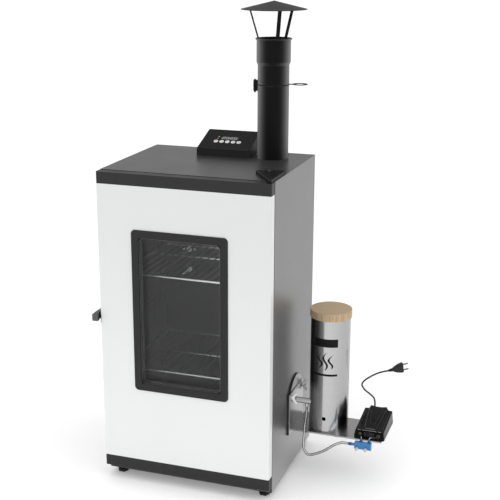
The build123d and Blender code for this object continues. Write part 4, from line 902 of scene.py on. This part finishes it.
def front_panel(bm):
    """A raised frame round the middle of the pump's front wall."""
    y = cover_low.y + 1.0 * MM
    z = (cover_low.z + SHOULDER_Z) / 2 - 1 * MM
    outer = rounded_rectangle(34 * MM, 12 * MM, 2 * MM)
    inner = rounded_rectangle(31.6 * MM, 9.6 * MM, 1.4 * MM)
    lean = 0.13

    def ring(points, out):
        return [Vector((cover_x + a, y + (b * lean) - out, z + b)) for a, b in points]

    loft(bm, [ring(outer, -1 * MM), ring(outer, 0.7 * MM), ring(inner, 0.7 * MM), ring(inner, 0.2 * MM)])


add_piece("pump_front_frame", front_panel, front_gloss, "cabinet")


def ridge(bm, places, radius=0.55 * MM):
    """A thin raised line over the cover's top, through places given as (x from the middle, y from the front)."""
    ends = [Vector((cover_x + a, cover_low.y + b, 0)) for a, b in places]
    path = []
    for start, end in zip(ends, ends[1:]):
        path += [start.lerp(end, i / 16) for i in range(16)]
    path.append(ends[-1])
    path = [Vector((q.x, q.y, cover_top(q.x, q.y) + 0.1 * MM)) for q in path]
    loft(bm, sweep_rings(path, radius, 10))


def hump_loop(inset, front, back):
    """Half the sides and the rounded front of an outline that lies inside the hump."""
    wide, narrow = HUMP_BACK_HALF - inset, HUMP_FRONT_HALF - inset
    turn = 4 * MM
    return [
        (-wide, back), (-narrow, front + turn), (-narrow + turn * 0.6, front), (narrow - turn * 0.6, front),
        (narrow, front + turn), (wide, back),
    ]


def cover_highlight_lines(bm):
    """Painted highlight lines on thin raised ridges: round the hump, round its inner step and along the side
    shoulders.
    """
    ridge(bm, hump_loop(1 * MM, 17 * MM, cover_d - 14 * MM))
    ridge(bm, hump_loop(11 * MM, 48 * MM, cover_d - 26 * MM), 0.4 * MM)
    for side in (-1, 1):
        ridge(bm, [(side * 38 * MM, 22 * MM), (side * 41 * MM, cover_d - 18 * MM)], 0.4 * MM)


def lip_highlight_lines(bm):
    """Painted highlight lines along the front edges of the three lip pads, and of the hump."""
    for low, high in LIP_PADS:
        ridge(bm, [(low + 1 * MM, 4.6 * MM), (high - 1 * MM, 4.6 * MM)], 0.8 * MM)
    ridge(bm, [(-15 * MM, 17 * MM), (15 * MM, 17 * MM)], 0.7 * MM)


add_piece("pump_cover_lines", cover_highlight_lines, painted_groove_highlight, "cabinet")
add_piece("pump_lip_lines", lip_highlight_lines, painted_lip_highlight, "cabinet")


# ---- clear hoses

manifold_low, manifold_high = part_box("air_manifold")
outlet_low, outlet_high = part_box("smoke_outlet")
drive_low, drive_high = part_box("pump_drive")
HOSE_R = 4.0 * MM
HOSE_BORE = 2.6 * MM
SHORT_HOSE_R = 2.5 * MM
SHORT_HOSE_BORE = 1.7 * MM
MANIFOLD_Y = manifold_high.y - 8 * MM
MANIFOLD_Z = manifold_low.z + 11.5 * MM
NIPPLE = Vector((outlet_high.x - 19 * MM, (outlet_low.y + outlet_high.y) / 2, outlet_low.z + 9 * MM))
NOZZLE_X = (drive_low.x + 11 * MM, drive_high.x - 8 * MM)
NOZZLE_Z = drive_low.z + 14 * MM
BARB_X = (manifold_high.x - 33 * MM, manifold_high.x - 8 * MM)


def place(x, y, z):
    return Vector((x * MM, y * MM, z * MM))


def long_hose(bm):
    """From the smoke outlet's nipple down, round and up to the valve block."""
    end = Vector((manifold_low.x + 11 * MM, MANIFOLD_Y, MANIFOLD_Z))
    points = [NIPPLE, NIPPLE - UP * 14 * MM, place(317, 15, 185), place(320, -12, 163), place(324, -32, 143)]
    points += [place(326, -45, 114), place(333, -52, 96), place(352, -58, 89), place(395, -61, 110)]
    points += [place(430, -61, 137), place(452, -60, 148), end - Vector((14 * MM, 0, 0)), end]
    hollow_hose(bm, smooth_path(points), HOSE_R, HOSE_BORE)


def short_hose(nozzle, barb):
    """From one of the pump's nozzles over to its barb on the valve block."""

    def draw(bm):
        start = Vector((nozzle, drive_low.y + 7 * MM, NOZZLE_Z))
        end = Vector((barb, MANIFOLD_Y, manifold_high.z - 7 * MM))
        across = Vector((barb - nozzle, 0, 0))
        points = [start, start - Vector((0, 7 * MM, 0)), start + across * 0.35 + place(0, -19, 4)]
        points += [start + across * 0.75 + place(0, -30, 8), end + place(0, 0.5, 9), end]
        hollow_hose(bm, smooth_path(points), SHORT_HOSE_R, SHORT_HOSE_BORE)

    return draw


add_piece("air_hose_long", long_hose, looks["clear_hose"], "cabinet", ["air_hoses"])
for side, nozzle, barb in zip(("left", "right"), NOZZLE_X, BARB_X):
    add_piece(f"air_hose_{side}", short_hose(nozzle, barb), thin_vinyl, "cabinet")


def collar(bm, foot, axis, profile):
    """A turned ring or nut: profile rows are (distance along the axis, radius), both in millimetres."""
    side, up = frame_on(axis)
    loft(bm, [circle(foot + axis * d * MM, side, up, r * MM) for d, r in profile])


RIBBED = ((0, 4.4), (0.4, 5.0), (1.6, 5.0), (2.0, 4.4), (2.4, 4.4), (2.8, 5.0), (4.0, 5.0), (4.4, 4.3), (5.2, 4.3), (6.0, 3.9), (7.6, 3.9))


def manifold_collars(bm):
    """Dark ribbed hose collars on the valve block's two barbs and on its inlet neck."""
    for x in BARB_X:
        collar(bm, Vector((x, MANIFOLD_Y, manifold_high.z - 12 * MM)), UP, RIBBED)
    inlet = Vector((manifold_low.x + 22 * MM, MANIFOLD_Y, MANIFOLD_Z))
    collar(bm, inlet, Vector((-1, 0, 0)), [(d * 1.5, r + 0.4) for d, r in RIBBED])


add_piece("manifold_collars", manifold_collars, collar_blue, "cabinet")


def knob_face(node):
    """The closed face of a valve knob, over its stem, with a grip bar."""

    def draw(bm):
        low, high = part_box(node)
        x, z = (low.x + high.x) / 2, (low.z + high.z) / 2
        r = (high.x - low.x) / 2
        face = Vector((x, low.y + 4 * MM, z))
        rim = [(-0.3, r * 990), (0.6, r * 990), (1.2, r * 900), (1.5, r * 700), (1.7, r * 300), (1.75, r * 30)]
        collar(bm, face, Vector((0, -1, 0)), rim)
        grip = rounded_rectangle(3 * MM, 2 * r - 1.6 * MM, 1.2 * MM, 4)
        loft(bm, [[face + Vector((a * k, -d * MM, b * k)) for a, b in grip] for d, k in ((0.8, 1), (4.0, 0.96), (4.5, 0.8))])

    return draw


for number in (1, 2):
    knob = f"valve_knob_{number}"
    add_piece(f"{knob}_face", knob_face(knob), looks["knob_white"], knob)


# ---- mains lead and plug

LEAD_R = 2.6 * MM
plug_axis = Vector((0.83, 0.54, 0.145)).normalized()
plug_wide = Vector((-plug_axis.y, plug_axis.x, 0)).normalized()
plug_tall = plug_axis.cross(plug_wide)
plug_start = place(566, 140, 332)


def lead_cable(bm):
    """The lead from the pump's back to the plug."""
    points = [place(514, 124, 174), place(514, 136, 176), place(515, 141.5, 203), place(511, 142, 224)]
    points += [place(497, 142, 237), place(479, 142, 250), place(469.5, 142, 268), place(485, 142, 289)]
    points += [place(522, 140, 315), plug_start - plug_axis * 8 * MM, plug_start + plug_axis * 6 * MM]
    loft(bm, sweep_rings(smooth_path(points), LEAD_R, 18))


def plug_ring(out, thick, wide, radius):
    return [
        plug_start + plug_axis * out * MM + plug_wide * a + plug_tall * b
        for a, b in rounded_rectangle(thick * MM, wide * MM, radius * MM, 6)
    ]


def plug_body(bm):
    """A flat two-pin plug: a ribbed neck, a waist, and a flared head."""
    profile = [(-12, 6.4, 6.4, 3.1), (-11, 7.4, 7.4, 3.6)]
    for rib in range(5):
        out = -10 + 2.6 * rib
        grown = 0.55 * rib
        profile += [(out, 8 + grown, 8.4 + grown, 3.6), (out + 1.3, 8 + grown, 8.4 + grown, 3.6)]
        profile += [(out + 1.4, 6.6 + grown, 7 + grown, 3.1), (out + 2.5, 6.6 + grown, 7 + grown, 3.1)]
    profile += [(4, 10.5, 13, 4.6), (9, 12.6, 19, 5.2), (16, 14.6, 25.5, 6), (24, 15.8, 30.5, 6.6)]
    profile += [(30, 16, 33.6, 6.8), (36, 16, 35, 6.8), (37.3, 15.2, 34.2, 6.4), (38, 13.8, 32.8, 5.8)]
    loft(bm, [plug_ring(*row) for row in profile])


def plug_pins(bm):
    """Two round pins with domed ends on sleeved roots."""
    for side in (-1, 1):
        root = plug_start + plug_axis * 38 * MM + plug_tall * side * 9.5 * MM
        profile = [(-1, 2.4), (0, 2.4), (17.2, 2.4), (18.3, 1.9), (18.85, 1.1), (19, 0.2)]
        loft(bm, [circle(root + plug_axis * d * MM, plug_wide, plug_tall, r * MM) for d, r in profile])


add_piece("mains_lead", lead_cable, looks["cord_black"], "cabinet", ["pump_lead"])
add_piece("mains_plug", plug_body, looks["cord_black"], "cabinet")
add_piece("mains_plug_pins", plug_pins, plug_pin, "cabinet")


# ---- seals, trim and small fixings

flange_low, flange_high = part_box("adapter_flange")
bracket_low, bracket_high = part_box("shelf_bracket")
wall_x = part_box("right_side_panel")[1].x
disc_y = (flange_low.y + flange_high.y) / 2
disc_r = (flange_high.y - flange_low.y) / 2
disc_z = flange_high.z - disc_r
plate_back_x = flange_low.x + 5 * MM
SEAL_PROUD = 0.7 * MM
SEAL_WIDTH = 6 * MM
PLATE_REAR_Y = 92 * MM


def seal_ring(bm, outline, inward):
    """A flat band of seal between the wall and the plates, from an outline and the matching inner points."""
    near, far = wall_x + 0.05 * MM, plate_back_x - 0.05 * MM
    rows = []
    for points, x in ((outline, near), (outline, far), (inward, far), (inward, near)):
        rows.append([bm.verts.new((x, y, z)) for y, z in points])
    for row, following in zip(rows, rows[1:] + rows[:1]):
        for i in range(len(row)):
            j = (i + 1) % len(row)
            bm.faces.new((row[i], row[j], following[j], following[i]))


def flange_seals(bm):
    """Black seal round the disc and behind the shelf's upright plate."""
    turns = [2 * math.pi * i / 96 for i in range(96)]
    discs = [[(disc_y + r * math.cos(a), disc_z + r * math.sin(a)) for a in turns] for r in (disc_r + SEAL_PROUD, disc_r + 0.05 * MM)]
    seal_ring(bm, *discs)


def plate_seal(bm):
    """The strip behind the upright plate's front and rear edges and along its top."""
    near, far = wall_x + 0.05 * MM, plate_back_x - 0.05 * MM
    low = bracket_low.z
    high = bracket_high.z + SEAL_PROUD
    for edge, inner in ((bracket_low.y - SEAL_PROUD, bracket_low.y + SEAL_WIDTH), (PLATE_REAR_Y + SEAL_PROUD, PLATE_REAR_Y - SEAL_WIDTH)):
        points = [Vector((near, edge, low)), Vector((near, inner, low)), Vector((near, inner, high)), Vector((near, edge, high - 5 * MM))]
        prism(bm, points, Vector((far - near, 0, 0)))


add_piece("flange_disc_seal", flange_seals, looks["gasket_rubber"], "cabinet")
add_piece("shelf_plate_seal", plate_seal, looks["gasket_rubber"], "cabinet", smooth=False)

skin_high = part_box("door_skin")[1]
top_cap_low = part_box("door_top_cap")[0]
bottom_cap_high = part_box("door_bottom_cap")[1]


def door_gap_shade_lip(bm):
    """A soft black lip down the back of the door, by its hinge edge, that closes most of the gap and paints the shade
    that falls in it.
    """
    x0, x1 = skin_high.x - 11 * MM, skin_high.x - 2.5 * MM
    y0, y1 = skin_high.y, skin_high.y + 3.4 * MM
    outline = [(x0, y0), (x1, y0), (x1 + 0.4 * MM, y0 + 1.2 * MM), (x1 - 0.6 * MM, y1), (x0 + 0.6 * MM, y1), (x0 - 0.4 * MM, y0 + 1.2 * MM)]
    low, high = bottom_cap_high.z + 3 * MM, top_cap_low.z - 3 * MM
    levels = [low + (high - low) * i / 12 for i in range(13)]
    loft(bm, [[Vector((x, y, z)) for x, y in outline] for z in levels])


add_piece("door_gap_shade_lip", door_gap_shade_lip, looks["gasket_rubber"], "door")


pane_low, pane_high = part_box("window_panes")
pane_x, pane_z = (pane_low.x + pane_high.x) / 2, (pane_low.z + pane_high.z) / 2
FRIT_INSET = 8.2 * MM
FRIT_RADIUS = 15 * MM
BEAD = 1.2 * MM


def frit_outline(inset, radius, y):
    wide, tall = pane_high.x - pane_low.x - 2 * inset, pane_high.z - pane_low.z - 2 * inset
    return [Vector((pane_x + a, y, pane_z + b)) for a, b in rounded_rectangle(wide, tall, radius, 10)]


def glass_frit(bm):
    """The black band baked on the back of the front pane, square outside and round-cornered inside."""
    y = pane_low.y - 0.25 * MM
    rings = [(0.6 * MM, 5 * MM, y), (0.6 * MM, 5 * MM, y + 0.15 * MM)]
    rings += [(FRIT_INSET, FRIT_RADIUS, y + 0.15 * MM), (FRIT_INSET, FRIT_RADIUS, y), rings[0]]
    loft(bm, [frit_outline(*row) for row in rings], caps=False)


def glass_highlight_bead(bm):
    """A thin grey line where the clear glass begins, a painted highlight along the bezel's inner rim."""
    y = pane_low.y - 0.25 * MM
    rings = [(FRIT_INSET, FRIT_RADIUS, y), (FRIT_INSET, FRIT_RADIUS, y - 0.5 * MM)]
    rings += [(FRIT_INSET + BEAD, FRIT_RADIUS - BEAD, y - 0.5 * MM), (FRIT_INSET + BEAD, FRIT_RADIUS - BEAD, y), rings[0]]
    loft(bm, [frit_outline(*row) for row in rings], caps=False)


add_piece("window_frit", glass_frit, frit_black, "door", smooth=False)
add_piece("window_bead", glass_highlight_bead, painted_bead_highlight, "door", smooth=False)


def probe_screws(bm):
    """Two small screw heads beside the upper probe's boss on the chamber's back wall."""
    low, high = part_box("temperature_probes")
    back_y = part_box("inner_liner")[1].y - 0.8 * MM
    for side in (-1, 1):
        centre = Vector(((low.x + high.x) / 2 + side * 20 * MM, back_y, high.z - 9 * MM))
        collar(bm, centre, Vector((0, -1, 0)), [(0, 4.2), (1.2, 4.2), (2.2, 3.2), (2.6, 1.6)])


add_piece("probe_screws", probe_screws, glowing_probe_zinc, "cabinet")

NUT_HUB = ((0, 3.15), (0, 7.0), (0.8, 7.4), (5, 6.6), (9, 5.4), (9.6, 5.0), (9.6, 3.15), (0, 3.15))
NUT_EAR = ((3.5, 4.0, 3.2, 2.4), (5.0, 7.0, 4.2, 2.0), (8.5, 11.5, 4.9, 1.7), (12.0, 15.0, 4.6, 1.6), (14.6, 17.4, 3.2, 1.5), (15.8, 18.4, 1.2, 0.8))


def wing_nut(node):
    """A cast wing nut: a tapered hub with two ears that sweep up and away from the plate."""

    def draw(bm):
        low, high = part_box(node)
        seat = Vector((low.x, (low.y + high.y) / 2, (low.z + high.z) / 2))
        out, across = Vector((1, 0, 0)), Vector((0, 1, 0))
        side, up = frame_on(out)
        loft(bm, [circle(seat + out * d * MM, side, up, r * MM) for d, r in NUT_HUB], caps=False)
        for turn in (-1, 1):
            stations = [seat + out * d * MM + UP * turn * z * MM for d, z, _, _ in NUT_EAR]
            rings = []
            for i, (_, _, wide, thick) in enumerate(NUT_EAR):
                ahead = (stations[min(i + 1, len(NUT_EAR) - 1)] - stations[max(i - 1, 0)]).normalized()
                broad = ahead.cross(across).normalized()
                turns = [2 * math.pi * k / 16 for k in range(16)]
                rings.append([stations[i] + broad * wide * MM * math.cos(a) + across * thick * MM * math.sin(a) for a in turns])
            loft(bm, rings)

    return draw


for name in ("wing_nut_front", "wing_nut_rear"):
    add_piece(f"{name}_cast", wing_nut(name), bright_zinc, name, [name])


# ---- studio


def studio_floor():
    """One large pale floor."""
    g = Graph("studio_floor")
    colour = g.blend(g.noise(0.8, detail=2), shade(0.88), shade(0.90))
    material = g.finish(
        Base_Color=colour, Roughness=0.7, Specular_IOR_Level=0.1, Emission_Color=(1, 1, 1, 1), Emission_Strength=0.2
    )
    mesh = bpy.data.meshes.new("floor")
    half = 60
    mesh.from_pydata([(-half, -half, 0), (half, -half, 0), (half, half, 0), (-half, half, 0)], [], [(0, 1, 2, 3)])
    mesh.materials.append(material)
    floor = bpy.data.objects.new("floor", mesh)
    bpy.context.scene.collection.objects.link(floor)


def studio_world():
    """A white room: brightest in front and overhead, and dimmer behind the object."""
    world = bpy.data.worlds.new("studio")
    bpy.context.scene.world = world
    world.use_nodes = True
    tree = world.node_tree

    def add(kind, **settings):
        made = tree.nodes.new(kind)
        for key, value in settings.items():
            setattr(made, key, value)
        return made

    def span(source, low, high, at):
        made = add("ShaderNodeMapRange", interpolation_type="SMOOTHSTEP")
        tree.links.new(source, made.inputs[0])
        for index, value in enumerate((*at, low, high), start=1):
            made.inputs[index].default_value = value
        return made.outputs[0]

    def combine(operation, a, b):
        made = add("ShaderNodeMath", operation=operation)
        tree.links.new(a, made.inputs[0])
        if isinstance(b, float):
            made.inputs[1].default_value = b
        else:
            tree.links.new(b, made.inputs[1])
        return made.outputs[0]

    split = add("ShaderNodeSeparateXYZ")
    tree.links.new(add("ShaderNodeTexCoord").outputs["Generated"], split.inputs[0])
    front = span(split.outputs["Y"], FRONT_LIGHT, BACK_LIGHT, (-0.4, 0.6))
    top = span(split.outputs["Z"], 0.0, TOP_LIGHT, (0.5, 0.9))
    room = combine("ADD", front, top)
    seen = add("ShaderNodeLightPath").outputs["Is Camera Ray"]
    mix = add("ShaderNodeMix", data_type="FLOAT")
    tree.links.new(seen, mix.inputs[0])
    tree.links.new(room, mix.inputs[2])
    mix.inputs[3].default_value = 1.0
    background = tree.nodes["Background"]
    background.inputs["Color"].default_value = (1, 1, 1, 1)
    tree.links.new(mix.outputs[0], background.inputs["Strength"])


FRONT_LIGHT = 0.74
BACK_LIGHT = 0.58
TOP_LIGHT = 0.6


def soft_light(name, size, power, at, towards):
    """A square softbox at a place, pointing at another."""
    light = bpy.data.lights.new(name, "AREA")
    light.shape = "RECTANGLE"
    light.size, light.size_y = size
    light.energy = power
    lamp = bpy.data.objects.new(name, light)
    lamp.location = at
    lamp.rotation_euler = (Vector(towards) - Vector(at)).to_track_quat("-Z", "Y").to_euler()
    bpy.context.scene.collection.objects.link(lamp)


studio_floor()
studio_world()
soft_light("key_softbox", (1.6, 2.2), 14, (-1.6, -2.6, 2.4), (0, 0, 0.6))
soft_light("side_softbox", (0.8, 1.8), 8, (2.8, -0.8, 1.8), (0.4, 0, 0.5))


# ---- camera

CAMERA_AT = (1.147, -3.053, 1.653)
CAMERA_YAW = math.radians(19.249)
CAMERA_DIP = math.radians(16.342)

lens = bpy.data.cameras.new("camera")
lens.sensor_width = 36
lens.lens = 76.86
lens.shift_x = 0.0284
lens.shift_y = 0.0134
camera = bpy.data.objects.new("camera", lens)
camera.location = CAMERA_AT
camera.rotation_euler = (math.pi / 2 - CAMERA_DIP, 0, CAMERA_YAW)
bpy.context.scene.collection.objects.link(camera)
bpy.context.scene.camera = camera
bpy.context.scene.view_settings.view_transform = "Standard"
